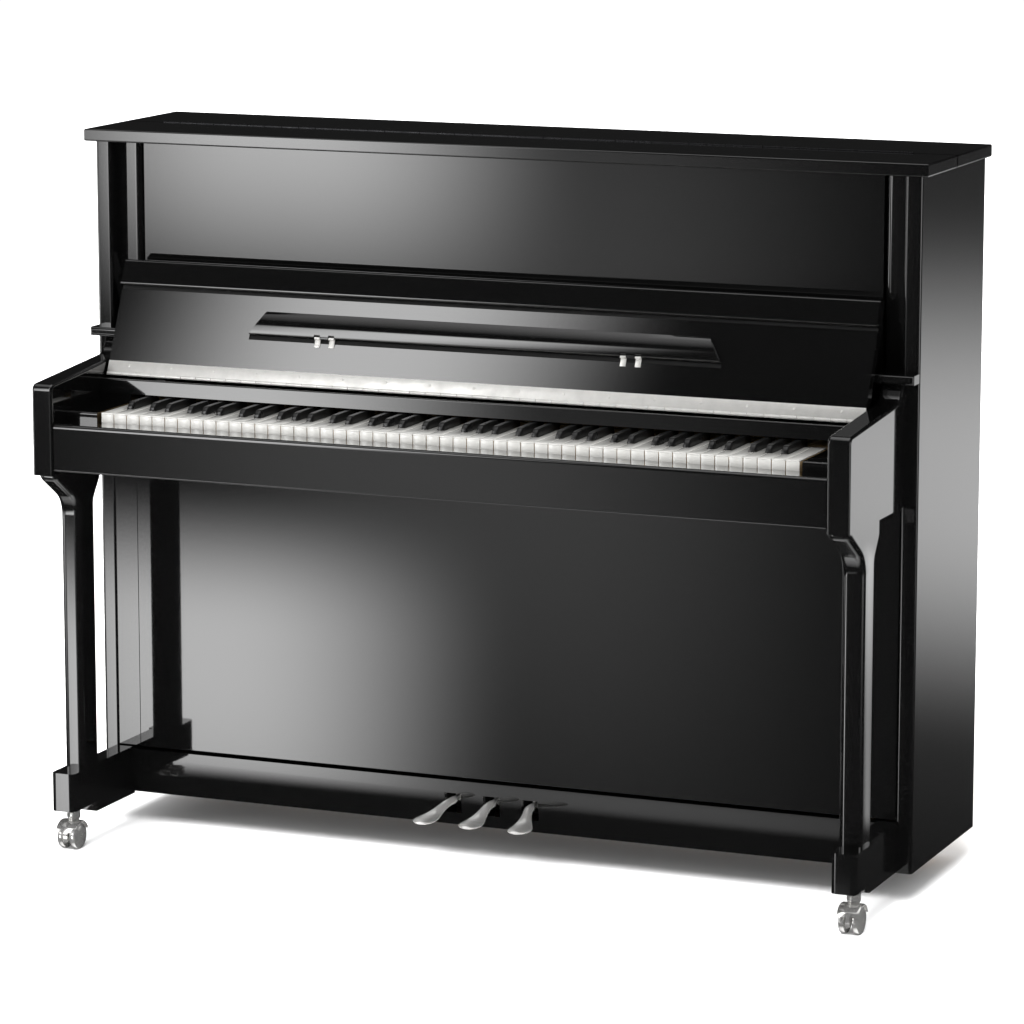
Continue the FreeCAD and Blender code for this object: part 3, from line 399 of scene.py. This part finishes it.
def turned(bm, profile, centre, axis="x", segments=32, closed=False):
    """Turn (along, radius) points round an axis through centre; a closed profile makes a ring."""
    along = AXES[axis]
    side = along.orthogonal().normalized()
    other = along.cross(side)
    angles = [math.tau * number / segments for number in range(segments)]
    rows = []
    for distance, radius in profile:
        rows.append([bm.verts.new(Vector(centre) + along * distance
                                  + (side * math.cos(angle) + other * math.sin(angle)) * radius)
                     for angle in angles])
    pairs = list(zip(rows, rows[1:]))
    if closed:
        pairs.append((rows[-1], rows[0]))
    for row, following in pairs:
        for i in range(segments):
            j = (i + 1) % segments
            bm.faces.new((row[i], row[j], following[j], following[i]))
    if not closed:
        bm.faces.new(list(reversed(rows[0])))
        bm.faces.new(rows[-1])


def make_piece(name, bm, material, body, replaces=(), crease=35, placed=None):
    """Turn a bmesh into a piece that rides a body; placed is its place, if it isn't the origin."""
    bmesh.ops.recalc_face_normals(bm, faces=bm.faces)
    mesh = bpy.data.meshes.new(name)
    bm.to_mesh(mesh)
    bm.free()
    mesh.polygons.foreach_set("use_smooth", [True] * len(mesh.polygons))
    mesh.materials.append(material)
    piece = bpy.data.objects.new(name, mesh)
    if placed is not None:
        piece.matrix_world = placed
    COLLECTION.objects.link(piece)
    split = piece.modifiers.new("creases", "EDGE_SPLIT")
    split.split_angle = math.radians(crease)
    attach(piece, body)
    for node in replaces:
        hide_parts(node)


# ---------------------------------------------------------------- keyboard

NOTES = ("c", "c_sharp", "d", "d_sharp", "e", "f", "f_sharp", "g", "g_sharp", "a", "a_sharp", "b")
COVER_THICK = 2.4 * MM       # acrylic on top of a white key
COVER_ROUND = 0.9 * MM
COVER_HIDDEN = 12 * MM       # the covers reach this far behind the fallboard rail's face
FRONT_THICK = 2.0 * MM       # acrylic on the front of a white key
FRONT_INSET = 0.4 * MM       # it lies this far behind the cover's edge
FRONT_NARROW = 0.1 * MM      # and leaves this much free at each side
FRONT_LIFT = 1.5 * MM        # and below
CAP_TALL = 14.5 * MM         # black caps
CAP_BACK = -107 * MM
CROWN_ROUND = 1.5 * MM
# cross-sections of a black cap's nose: mm behind its front, share of its height, and how many
# mm narrower each side is there
NOSE = ((0, 0.34, 0.55), (0.7, 0.50, 0.3), (3.2, 0.72, 0.15), (7.0, 0.91, 0.05),
        (10.5, 0.985, 0), (15, 1, 0), (55, 1, 0))


def clean_solid(node):
    """A bmesh copy of a CAD node with its flat faces whole again."""
    bm = joined_copy(node)
    bmesh.ops.dissolve_limit(bm, angle_limit=math.radians(1), verts=bm.verts, edges=bm.edges)
    return bm


def slice_off(bm, point, normal):
    """Cut away everything on the side of a plane that its normal points to."""
    cut = bmesh.ops.bisect_plane(bm, geom=bm.verts[:] + bm.edges[:] + bm.faces[:],
                                 plane_co=point, plane_no=normal, clear_outer=True)
    edges = [item for item in cut["geom_cut"] if isinstance(item, bmesh.types.BMEdge)]
    bmesh.ops.holes_fill(bm, edges=edges)


def white_keys(note):
    """Acrylic tops and fronts with rounded edges, on wooden sticks."""
    node = f"keys_{note}"
    low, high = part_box(node)
    seam = high[2] - COVER_THICK
    front, front_back = low[1] + FRONT_INSET, low[1] + FRONT_THICK + FRONT_INSET
    cover_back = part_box("fallboard_rail")[0][1] + COVER_HIDDEN
    cover = clean_solid(node)
    slice_off(cover, (0, 0, seam), (0, 0, -1))
    slice_off(cover, (0, cover_back, 0), (0, 1, 0))
    bmesh.ops.bevel(cover, geom=cover.edges[:], offset=COVER_ROUND, segments=3, profile=0.5,
                    affect="EDGES", clamp_overlap=True)
    for key_low, key_high in solids_of(node):
        rounded_box(cover, (key_low.x + FRONT_NARROW, front, low[2] + FRONT_LIFT),
                    (key_high.x - FRONT_NARROW, front_back, seam + 0.4 * MM), 0.5 * MM)
    make_piece(f"key_covers_{note}", cover, KEY_WHITE, node, [node])
    stick = clean_solid(node)
    slice_off(stick, (0, 0, seam), (0, 0, 1))
    slice_off(stick, (0, front_back, 0), (0, -1, 0))
    make_piece(f"key_sticks_{note}", stick, KEY_WOOD, node)


def cap_ring(middle, y, foot, crown, base, top):
    """One cross-section of a black key's cap: half widths base below and crown above."""
    points = [(-base, foot), (-base, foot + 0.4 * (top - foot))]
    for step in range(4):
        angle = math.radians(90 * step / 3)
        points.append((-crown + CROWN_ROUND * (1 - math.cos(angle)),
                       top - CROWN_ROUND * (1 - math.sin(angle))))
    mirror = [(-x, z) for x, z in reversed(points)]
    return [(middle + x, y, z) for x, z in points + mirror]


def black_keys(note):
    """Tapered caps with a sloping nose, on wooden sticks."""
    node = f"keys_{note}"
    caps, sticks = bmesh.new(), bmesh.new()
    for low, high in solids_of(node):
        middle, half = (low.x + high.x) / 2, (high.x - low.x) / 2
        crown = half - 0.9 * MM
        foot, top, front = high.z - CAP_TALL, high.z, low.y
        rings = []
        for back, rise, narrow in NOSE:
            slope = narrow * MM
            rings.append(cap_ring(middle, front + back * MM, foot, crown - slope * 1.6,
                                  half - slope, foot + (top - foot) * rise))
        rings.append(cap_ring(middle, CAP_BACK - 0.8 * MM, foot, crown, half, top))
        rings.append(cap_ring(middle, CAP_BACK, foot, crown - 0.5 * MM, half - 0.3 * MM,
                              top - 0.8 * MM))
        loft(caps, rings)
        rounded_box(sticks, (low.x, front + 1.5 * MM, low.z), (high.x, high.y, foot), 0.4 * MM, 1)
    make_piece(f"key_caps_{note}", caps, KEY_BLACK, node, [node], crease=60)
    make_piece(f"key_sticks_{note}", sticks, KEY_WOOD, node)


for note in NOTES:
    if note.endswith("sharp"):
        black_keys(note)
    else:
        white_keys(note)


# --------------------------------------------------- hinges and music desk

FALL_LEAN = math.radians(24)
# pieces of the fallboard are drawn upright, and this leans them back about its hinge
ON_FALLBOARD = (Matrix.Translation(JOINT_AT["fallboard_closing"])
                @ Matrix.Rotation(-FALL_LEAN, 4, "X"))
KNUCKLE_GAP = 0.5 * MM
HINGE_SCREWS = 17


def screw_head(bm, centre, radius):
    """A domed countersunk head that stands proud of its surface towards -Y."""
    height = radius * 0.22
    turned(bm, [(radius * 0.3, radius), (0, radius), (-height * 0.6, radius * 0.82),
                (-height, radius * 0.45)], centre, "y", 20)


def knuckles(bm, start, end, radius, centre, pitch):
    """A hinge barrel along X, of equal knuckles about a pitch long with fine gaps between."""
    count = round((end - start) / pitch)
    length = (end - start) / count
    soft = radius * 0.22
    for number in range(count):
        left = start + length * number + KNUCKLE_GAP / 2
        right = left + length - KNUCKLE_GAP
        turned(bm, [(left, radius - soft), (left + soft * 0.5, radius), (right - soft * 0.5, radius),
                    (right, radius - soft)], centre, "x", 20)


def fallboard_hinge():
    """A long nickel hinge: leaf, knuckles and screws."""
    low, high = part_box("fallboard_hinge")
    leaf_top, leaf_face, radius = 23 * MM, -0.9 * MM, 3 * MM
    bm = bmesh.new()
    rounded_box(bm, (low[0], leaf_face, radius / 2), (high[0], 0.1 * MM, leaf_top), 0.3 * MM)
    knuckles(bm, low[0], high[0], radius, (0, 0, 0), 28 * MM)
    for number in range(HINGE_SCREWS):
        x = low[0] + (high[0] - low[0]) * (number + 0.5) / HINGE_SCREWS
        screw_head(bm, (x, leaf_face, 0.62 * leaf_top), 2.6 * MM)
    make_piece("fallboard_hinge_detail", bm, SATIN_NICKEL, "fallboard",
               ["fallboard_hinge"], placed=ON_FALLBOARD)


def lid_hinge():
    """The blackened hinge let in between the two lid boards."""
    low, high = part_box("lid_hinge")
    radius = 2 * MM
    bm = bmesh.new()
    rounded_box(bm, (low[0], high[1] - 1.3 * MM, low[2]), (high[0], high[1], high[2] - radius),
                0.2 * MM)
    centre = (0, low[1] + radius, high[2] - radius)
    knuckles(bm, low[0], high[0], radius, centre, 32 * MM)
    make_piece("lid_hinge_detail", bm, BLACK_STEEL, "case", ["lid_hinge"])


def upright_box(node):
    """Low and high corners of a node on the fallboard, with the fallboard turned upright."""
    back = ON_FALLBOARD.inverted()
    corners = [back @ vert.co for vert in NODES[node].data.vertices]
    return [Vector([pick(co[axis] for co in corners) for axis in range(3)]) for pick in (min, max)]


DESK_HINGES_X = (-280 * MM, 265 * MM)
LUG_OFFSET, LUG_HALF = 13 * MM, 5 * MM       # two lugs to a hinge, and half of a lug's width
LUG_GAP = 0.4 * MM           # between a lug and its notch
NOTCH_TALL = 3.6 * MM
DESK_SLANT = 25 * MM         # how much each end leans in
DESK_FLAT = 8 * MM           # height of the flat strip along the foot
DESK_ROUND = 3 * MM          # below that strip
DESK_CURVE = 2.3             # power of the curve above it


def desk_profile(low, high):
    """The desk's YZ outline: its foot, its rounded face and its thin free edge."""
    front, back, foot = low.y, high.y, low.z
    tall = high.z - foot
    profile = [(back, foot)]
    for step in range(6):
        turn = math.radians(90 * step / 5)
        profile.append((front + DESK_ROUND * (1 - math.sin(turn)),
                        foot + DESK_ROUND * (1 - math.cos(turn))))
    profile.append((front, foot + DESK_FLAT))
    for step in range(1, 11):
        share = step / 10
        profile.append((front + (back - front - 1 * MM) * share ** DESK_CURVE,
                        foot + DESK_FLAT + (tall - DESK_FLAT - 0.6 * MM) * share))
    profile.append((back, high.z))
    return profile


def music_desk():
    """The folded desk: its ends slant, its foot is notched for the hinge lugs, and between the
    lugs it has barrels of its own."""
    low, high = upright_box("music_desk")
    back, foot, tall = high.y, low.z, high.z - low.z
    profile = desk_profile(low, high)
    notched = [(y, max(z, foot + NOTCH_TALL + (z - foot) * (1 - NOTCH_TALL / DESK_FLAT)))
               for y, z in profile]
    ends = []
    for side, inset, shrink in ((-1, 0, 0.6), (-1, 1.5, 1), (1, 1.5, 1), (1, 0, 0.6)):
        ends.append([(side * (high.x - inset * MM - DESK_SLANT * (z - foot) / tall),
                      back + (y - back) * shrink, z) for y, z in profile])
    rings = ends[:2]
    step_wide = 0.05 * MM
    for hinge_x in DESK_HINGES_X:
        for lug_x in (hinge_x - LUG_OFFSET, hinge_x + LUG_OFFSET):
            left, right = lug_x - LUG_HALF - LUG_GAP, lug_x + LUG_HALF + LUG_GAP
            for x, outline in ((left, profile), (left + step_wide, notched),
                               (right - step_wide, notched), (right, profile)):
                rings.append([(x, y, z) for y, z in outline])
    rings += ends[2:]
    bm = bmesh.new()
    loft(bm, rings)
    centre = (0, (low.y + high.y) / 2, foot)
    reach, soft, radius = LUG_OFFSET - LUG_HALF - LUG_GAP, 0.4 * MM, 2.2 * MM
    for x in DESK_HINGES_X:
        turned(bm, [(x - reach, radius - soft), (x - reach + soft, radius),
                    (x + reach - soft, radius), (x + reach, radius - soft)], centre, "x", 24)
    make_piece("music_desk_board", bm, BLACK, "music_desk", ["music_desk"],
               placed=ON_FALLBOARD)


def desk_hinges():
    """Two nickel hinges at the music desk's lower edge, each a pair of lugs over the groove."""
    low, high = upright_box("music_desk")
    axis_y, axis_z = (low.y + high.y) / 2, low.z
    radius, plate_face, plate_back = 2.3 * MM, -1.1 * MM, -0.1 * MM
    bm = bmesh.new()
    for x in DESK_HINGES_X:
        for offset in (-LUG_OFFSET, LUG_OFFSET):
            left, right = x + offset - LUG_HALF, x + offset + LUG_HALF
            turned(bm, [(left, radius * 0.8), (left + 0.5 * MM, radius), (right - 0.5 * MM, radius),
                        (right, radius * 0.8)], (0, axis_y, axis_z), "x", 24)
            rounded_box(bm, (left + 0.6 * MM, axis_y, axis_z - 2.2 * MM),
                        (right - 0.6 * MM, plate_back, axis_z - 0.2 * MM), 0.3 * MM)
            rounded_box(bm, (left, plate_face, axis_z - 15 * MM), (right, plate_back, axis_z),
                        0.35 * MM)
            screw_head(bm, (x + offset, plate_face, axis_z - 11 * MM), 1.9 * MM)
    make_piece("music_desk_hinges", bm, SATIN_NICKEL, "fallboard", placed=ON_FALLBOARD)


LIP_LINE = 155.5 * MM        # up the fallboard from its hinge to the underside of its lip


def groove_shade_strips():
    """Matte black strips in the groove under the music desk and the one under the lip: painted shade, dark sheets
    that stand in for the shadow inside the grooves.
    """
    board, desk = upright_box("fallboard"), upright_box("music_desk")
    foot, end = desk[0].z, 0.4 * MM
    bm = bmesh.new()
    for (low, high), top, tall, front, back in (
            (desk, foot - 0.2 * MM, 7.6 * MM, 1.2 * MM, 5.8 * MM),
            (board, LIP_LINE - 0.2 * MM, 5.6 * MM, 0.8 * MM, 4.8 * MM)):
        rounded_box(bm, (low.x + end, front, top - tall), (high.x - end, back, top), 0.6 * MM)
    make_piece("fallboard_groove_painted_shade", bm, GROOVE_SHADE_BLACK, "fallboard",
               placed=ON_FALLBOARD)


fallboard_hinge()
groove_shade_strips()
lid_hinge()
music_desk()
desk_hinges()


# ----------------------------------------------------------------- casters

AXLE_BORE = 3.05 * MM        # radius of the hole in each wheel


def wheel_profile(width, radius, tread, dome):
    """Cross-section of a wheel: tread rounded by tread, faces domed or dished by dome."""
    half = width / 2
    rim = half - max(dome, 0)
    face = [(rim, radius * 0.84)]
    for share in (0.25, 0.5, 0.75, 1.0):
        face.append((rim + dome * math.sin(math.radians(90 * share)), radius * (0.84 - 0.5 * share)))
    side = [(rim - tread, radius), (rim - tread * 0.3, radius - tread * 0.3), (rim, radius - tread)]
    side += face + [(rim + dome, AXLE_BORE)]
    return [(-along, r) for along, r in reversed(side)] + side


def wheels_of(node, tread, dome):
    """A turned wheel in the place of each solid of a node."""
    bm = bmesh.new()
    for low, high in solids_of(node):
        profile = wheel_profile(high.x - low.x, (high.z - low.z) / 2, tread, dome)
        turned(bm, profile, (low + high) / 2, "x", 48, closed=True)
    return bm


def round_axle(degrees):
    """Direction away from a caster's axle: 0 degrees is forward and 90 is up."""
    angle = math.radians(degrees)
    return Vector((0, -math.cos(angle), math.sin(angle)))


def caster_horn(bm, joint, wheel_top, top):
    """The turned stem on the swivel axis, which widens to a flange under the leg."""
    turned(bm, [(wheel_top + 2 * MM, 8.5 * MM), (wheel_top + 3 * MM, 9.5 * MM),
                (wheel_top + 6 * MM, 11 * MM), (wheel_top + 10 * MM, 11.5 * MM),
                (wheel_top + 15 * MM, 11 * MM), (top - 6.5 * MM, 12 * MM),
                (top - 4.4 * MM, 16 * MM), (top - 3.4 * MM, 17 * MM), (top - 0.6 * MM, 17 * MM),
                (top, 16.2 * MM)], (joint.x, joint.y, 0), "z", 40)


def caster_hood(bm, axle, half, inside):
    """The arched hood over both wheels."""
    outside, soft = axle.z + 4 * MM, 2 * MM
    rings = []
    for step in range(19):
        outer = round_axle(20 + 140 * step / 18)
        lip = 0.6 * MM if step in (0, 18) else 0
        arch = [(-half, outside - 1.4 * MM), (-half + soft, outside - 0.4 * MM), (0, outside),
                (half - soft, outside - 0.4 * MM), (half, outside - 1.4 * MM), (half, inside),
                (-half, inside)]
        rings.append([axle + outer * (radius - lip) + Vector((x, 0, 0)) for x, radius in arch])
    loft(bm, rings)


def caster_web(bm, axle, rim_radius):
    """The plate between the wheels that joins the hood to the axle."""
    web = Vector((3.6 * MM, 0, 0))
    rings = []
    for step in range(11):
        outer = round_axle(-20 + 170 * step / 10)
        rim, hub = axle + outer * rim_radius, axle + outer * axle.z * 0.42
        rings.append([rim - web, rim + web, hub + web, hub - web])
    loft(bm, rings)


def front_caster(label):
    """Two domed wheels on an axle, under a hood that turns about the horn."""
    node = f"caster_wheel_{label}"
    make_piece(f"caster_wheels_{label}_detail", wheels_of(node, 2 * MM, 1.8 * MM), CASTER_NICKEL,
               node, [node], crease=50)
    fork_node = f"caster_fork_{label}"
    low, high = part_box(fork_node)
    joint, axle = JOINT_AT[f"caster_{label}_swivel"], JOINT_AT[f"caster_{label}_roll"]
    half, inside = (high[0] - low[0]) / 2, axle.z + 1.6 * MM
    bm = bmesh.new()
    caster_horn(bm, joint, 2 * axle.z, high[2])
    caster_hood(bm, axle, half, inside)
    caster_web(bm, axle, inside + 0.4 * MM)
    turned(bm, [(-half, 2.2 * MM), (0.8 * MM - half, 3 * MM), (half - 0.8 * MM, 3 * MM),
                (half, 2.2 * MM)], axle, "x", 24)
    make_piece(f"caster_fork_{label}_detail", bm, CASTER_NICKEL, fork_node, [fork_node])


def rear_casters():
    node = "rear_caster_wheels"
    make_piece("rear_caster_wheels_detail", wheels_of(node, 3.5 * MM, -1.5 * MM), RUBBER, node,
               [node], crease=50)


front_caster("left")
front_caster("right")
rear_casters()


# ------------------------------------------------------------------ action

def tube(bm, start, end, radius, segments=10):
    """A round bar between two points."""
    start, end = Vector(start), Vector(end)
    along = (end - start).normalized()
    side = along.orthogonal().normalized()
    other = along.cross(side)
    rings = []
    for point in (start, end):
        rings.append([point + (side * math.cos(math.tau * n / segments)
                               + other * math.sin(math.tau * n / segments)) * radius
                      for n in range(segments)])
    loft(bm, rings)


def slab(bm, x, thickness, outline):
    """An upright slice of a YZ outline, centred on x."""
    loft(bm, [[(x + side * thickness / 2, y, z) for y, z in outline] for side in (-1, 1)])


HEAD_BELOW = 13 * MM         # from the top of a hammer's box to the middle of its head
HEAD_HALF = 12.6 * MM        # half of the head's height where it is thickest


def hammer_butt(bm, x, wide, y, z):
    """The wooden block that a hammer's shank stands in, with y in its middle and z its foot."""
    slab(bm, x, wide, [(y - 7 * MM, z), (y + 7 * MM, z), (y + 6.5 * MM, z + 18 * MM),
                       (y + 2 * MM, z + 22 * MM), (y - 3.5 * MM, z + 22 * MM),
                       (y - 7 * MM, z + 14 * MM)])


def hammer_head(bm, x, wide, head_z, nose, tail):
    """An egg of felt that is blunt at its tail and pointed at its nose."""
    steps = 14
    outline = []
    for step in range(steps + 1):
        share = step / steps
        swell = math.sin(math.pi * (0.18 + 0.82 * share)) ** 0.62 if share < 1 else 0
        outline.append((tail + (nose - tail) * share, max(HEAD_HALF * swell, 0.6 * MM)))
    section = [(y, head_z + half) for y, half in outline]
    section += [(y, head_z - half) for y, half in reversed(outline)]
    middle_y = (nose + tail) / 2
    rings = []
    for offset, scale in ((-0.5, 0.9), (-0.36, 1.0), (0.36, 1.0), (0.5, 0.9)):
        rings.append([(x + wide * offset, middle_y + (y - middle_y) * scale,
                       head_z + (z - head_z) * scale) for y, z in section])
    loft(bm, rings)


def hammer_row():
    """A felt head on a wooden moulding, a round shank and a butt for each note, and the rail."""
    heads, wood_parts = bmesh.new(), bmesh.new()
    solids = solids_of("hammers")
    rail = max(solids, key=lambda pair: pair[1].x - pair[0].x)
    for low, high in solids:
        if (low, high) == rail:
            continue
        x, wide = (low.x + high.x) / 2, high.x - low.x
        butt_y, head_z = low.y + 23 * MM, high.z - HEAD_BELOW
        hammer_butt(wood_parts, x, wide, butt_y, low.z)
        tube(wood_parts, (x, butt_y - 1 * MM, low.z + 16 * MM),
             (x, butt_y - 12 * MM, head_z - 8 * MM), 2.7 * MM)
        slab(wood_parts, x, wide * 0.86, [(low.y + 0.4 * MM, head_z - 6 * MM),
                                          (low.y + 0.4 * MM, head_z + 6 * MM),
                                          (butt_y + 4 * MM, head_z + 3.5 * MM),
                                          (butt_y + 4 * MM, head_z - 3.5 * MM)])
        hammer_head(heads, x, wide, head_z, high.y, butt_y - 10 * MM)
    low, high = rail
    rounded_box(wood_parts, low, high, 1.5 * MM)
    make_piece("hammer_heads", heads, FELT, "hammers", ["hammers"], crease=50)
    make_piece("hammer_shanks", wood_parts, BEECH, "hammers")


DAMPER_FELT = 7 * MM         # thickness of a damper's felt
DAMPER_WIRE = 1.6 * MM       # radius of its wire


def damper_row():
    """Felt pads on heads, each on a bent wire from the rod that lifts them all."""
    pads, levers = bmesh.new(), bmesh.new()
    low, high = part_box("dampers")
    rod_y, rod_z, top = low[1] + 4 * MM, low[2] + 4 * MM, high[2]
    reach = {}       # how far back each edge of a damper's top lies, by the edge's X
    for vert in NODES["dampers"].data.vertices:
        if vert.co.z > top - 1 * MM:
            edge = round(vert.co.x, 5)
            reach[edge] = max(reach.get(edge, -1), vert.co.y)
    edges = sorted(reach)
    for left, right in zip(edges[0::2], edges[1::2]):
        x, tip = (left + right) / 2, reach[left]
        head = tip - DAMPER_FELT
        rounded_box(pads, (left, head, top - 31 * MM), (right, tip, top - 1 * MM), 1.2 * MM)
        rounded_box(levers, (left + 0.6 * MM, head - 9 * MM, top - 27 * MM),
                    (right - 0.6 * MM, head + 0.4 * MM, top - 5 * MM), 0.8 * MM)
        bend = (x, rod_y + 4 * MM, top - 34 * MM)
        tube(levers, (x, rod_y, rod_z), bend, DAMPER_WIRE, 8)
        tube(levers, bend, (x, head - 4 * MM, top - 16 * MM), DAMPER_WIRE, 8)
    tube(levers, (low[0], rod_y, rod_z), (high[0], rod_y, rod_z), 4 * MM, 20)
    make_piece("damper_felts", pads, FELT, "dampers", ["dampers"])
    make_piece("damper_levers", levers, STEEL, "dampers")


hammer_row()
damper_row()


# ------------------------------------------------------------ studio stage

FLOOR_HALF = 14.0            # metres
FLOOR_SUN, FLOOR_SUN_SPREAD = 7.2, math.radians(44)       # the spread blurs its shadows
WORLD_WHITE = 1.05           # what the camera and matt surfaces see
GLOSS_DARK, GLOSS_WHITE = 0.012, 1.0
CAP_START, CAP_FULL = 0.76, 0.96      # how steep a glossy ray is where it leaves dark for white


def add_floor():
    """A plain pale floor, left out of the lacquer's reflections so that the case stays dark."""
    corners = [(-1, -1), (1, -1), (1, 1), (-1, 1)]
    mesh = bpy.data.meshes.new("floor")
    mesh.from_pydata([(x * FLOOR_HALF, y * FLOOR_HALF, 0) for x, y in corners], [], [(0, 1, 2, 3)])
    floor = bpy.data.objects.new("floor", mesh)
    COLLECTION.objects.link(floor)
    material, tree = new_material("pale_floor")
    tone = tree.mix(tree.noise(0.7, 2.0), grey(0.86), grey(0.9))
    tree.surface({"Base Color": tone, "Roughness": 0.9, "Specular IOR Level": 0.0})
    mesh.materials.append(material)
    floor.visible_glossy = False
    return floor


def add_world():
    """White to the camera and to matt surfaces; to gloss, dark except straight up and down."""
    world = bpy.data.worlds.new("studio")
    bpy.context.scene.world = world
    tree = Tree(world)
    coordinates = tree.add("ShaderNodeTexCoord")
    height = tree.add("ShaderNodeSeparateXYZ", {0: coordinates.outputs["Generated"]}).outputs[2]
    caps = tree.levels(tree.math("ABSOLUTE", height), CAP_START, CAP_FULL, GLOSS_DARK, GLOSS_WHITE)
    path = tree.add("ShaderNodeLightPath")
    seen = tree.add("ShaderNodeMix", data_type="FLOAT")
    tree.put(seen.inputs[0], path.outputs["Is Glossy Ray"])
    tree.put(seen.inputs[2], WORLD_WHITE)
    tree.put(seen.inputs[3], caps)
    tree.end_with(tree.add("ShaderNodeBackground", {"Color": grey(1.0),
                                                    "Strength": seen.outputs[0]}),
                  "ShaderNodeOutputWorld")


def add_light(name, data, direction):
    light = bpy.data.objects.new(name, data)
    light.rotation_euler = Vector(direction).to_track_quat("-Z", "Y").to_euler()
    COLLECTION.objects.link(light)
    return light


def light_only(light, receivers):
    """Let a light fall on the receivers alone."""
    group = bpy.data.collections.new(light.name + "_receivers")
    for receiver in receivers:
        group.objects.link(receiver)
    light.light_linking.receiver_collection = group


def soft_light(name, centre, size, radiance, aim=None, side=0.5, bottom=0.5, top=0.5):
    """An area light whose brightness fades towards its edges.

    It faces aim, or else straight along Y towards the piano. radiance is what a mirror would
    show at its middle; side, bottom and top are the shares of the width or height over which
    it fades there.
    """
    data = bpy.data.lights.new(name, "AREA")
    data.shape = "RECTANGLE"
    data.size, data.size_y = size
    data.energy = radiance * math.pi * size[0] * size[1]
    tree = Tree(data)
    geometry = tree.add("ShaderNodeNewGeometry")
    parts = tree.add("ShaderNodeSeparateXYZ", {0: geometry.outputs["Parametric"]})
    strength = 1.0
    for axis, start, fade in ((0, 0, side), (0, 1, -side), (1, 0, bottom), (1, 1, -top)):
        rise = tree.add("ShaderNodeMapRange", {"Value": parts.outputs[axis], "From Min": start,
                                               "From Max": start + fade},
                        interpolation_type="SMOOTHERSTEP")
        strength = tree.math("MULTIPLY", strength, rise.outputs["Result"])
    tree.end_with(tree.add("ShaderNodeEmission", {"Strength": strength}), "ShaderNodeOutputLight")
    aim = aim or (centre[0], 0, centre[2])
    light = add_light(name, data, Vector(aim) - Vector(centre))
    light.location = centre
    light.visible_camera = False
    return light


def light_side(label, side):
    """A soft gradient in the lacquer of one side, which leaves the rest of the piano alone."""
    light = soft_light(f"side_{label}_soft", (side * 3.4, -0.35, 0.9), (2.6, 3.2), 1.6,
                       aim=(0, -0.05, 0.55))
    light_only(light, [NODES[f"{piece}_{label}"]
                       for piece in ("side_panel", "arm", "leg", "toe_block")])


def light_floor(floor):
    """A broad sun from above the front that falls on the floor alone, so that it stays white."""
    data = bpy.data.lights.new("floor_overhead", "SUN")
    data.energy = FLOOR_SUN
    data.angle = FLOOR_SUN_SPREAD
    light_only(add_light("floor_overhead", data, (0, 0.6, -1)), [floor])


light_floor(add_floor())
add_world()
bpy.context.scene.view_settings.view_transform = "Standard"

FRONT = -2.8                 # Y of the first front light; each of the others stands LAYER behind
LAYER = 0.02
BEHIND = 2.4                 # Y of the lights that the right side's lacquer reflects
soft_light("front_left_high", (-1.75, FRONT, 2.1), (1.7, 3.6), 4.4, bottom=0.2, top=0.1)
soft_light("front_left_low", (-1.95, FRONT - LAYER, -0.67), (1.8, 1.56), 4.4, bottom=0.74,
           top=0.287)
soft_light("front_wide", (-1.15, FRONT - 2 * LAYER, 0.4), (2.3, 3.4), 0.4)
soft_light("side_right_back", (1.47, BEHIND, 0.26), (1.6, 1.3), 0.84, side=0.3)
soft_light("side_right_wide", (1.47, BEHIND + 2 * LAYER, 0.3), (2.0, 2.4), 0.08, side=0.3)
soft_light("right_leg_strip", (0.938, 0.5, 0.23), (0.036, 0.54), 0.55, bottom=0.1, top=0.1)
soft_light("front_low_wide", (-0.9, FRONT - 3 * LAYER, -1.0), (3.0, 0.8), 0.45, bottom=0.7,
           top=0.15)
soft_light("left_wrap", (-2.3, -1.1, 0.45), (1.5, 1.9), 2.2, aim=(0.2, -0.1, 0.45))
light_side("left", -1)
light_side("right", 1)
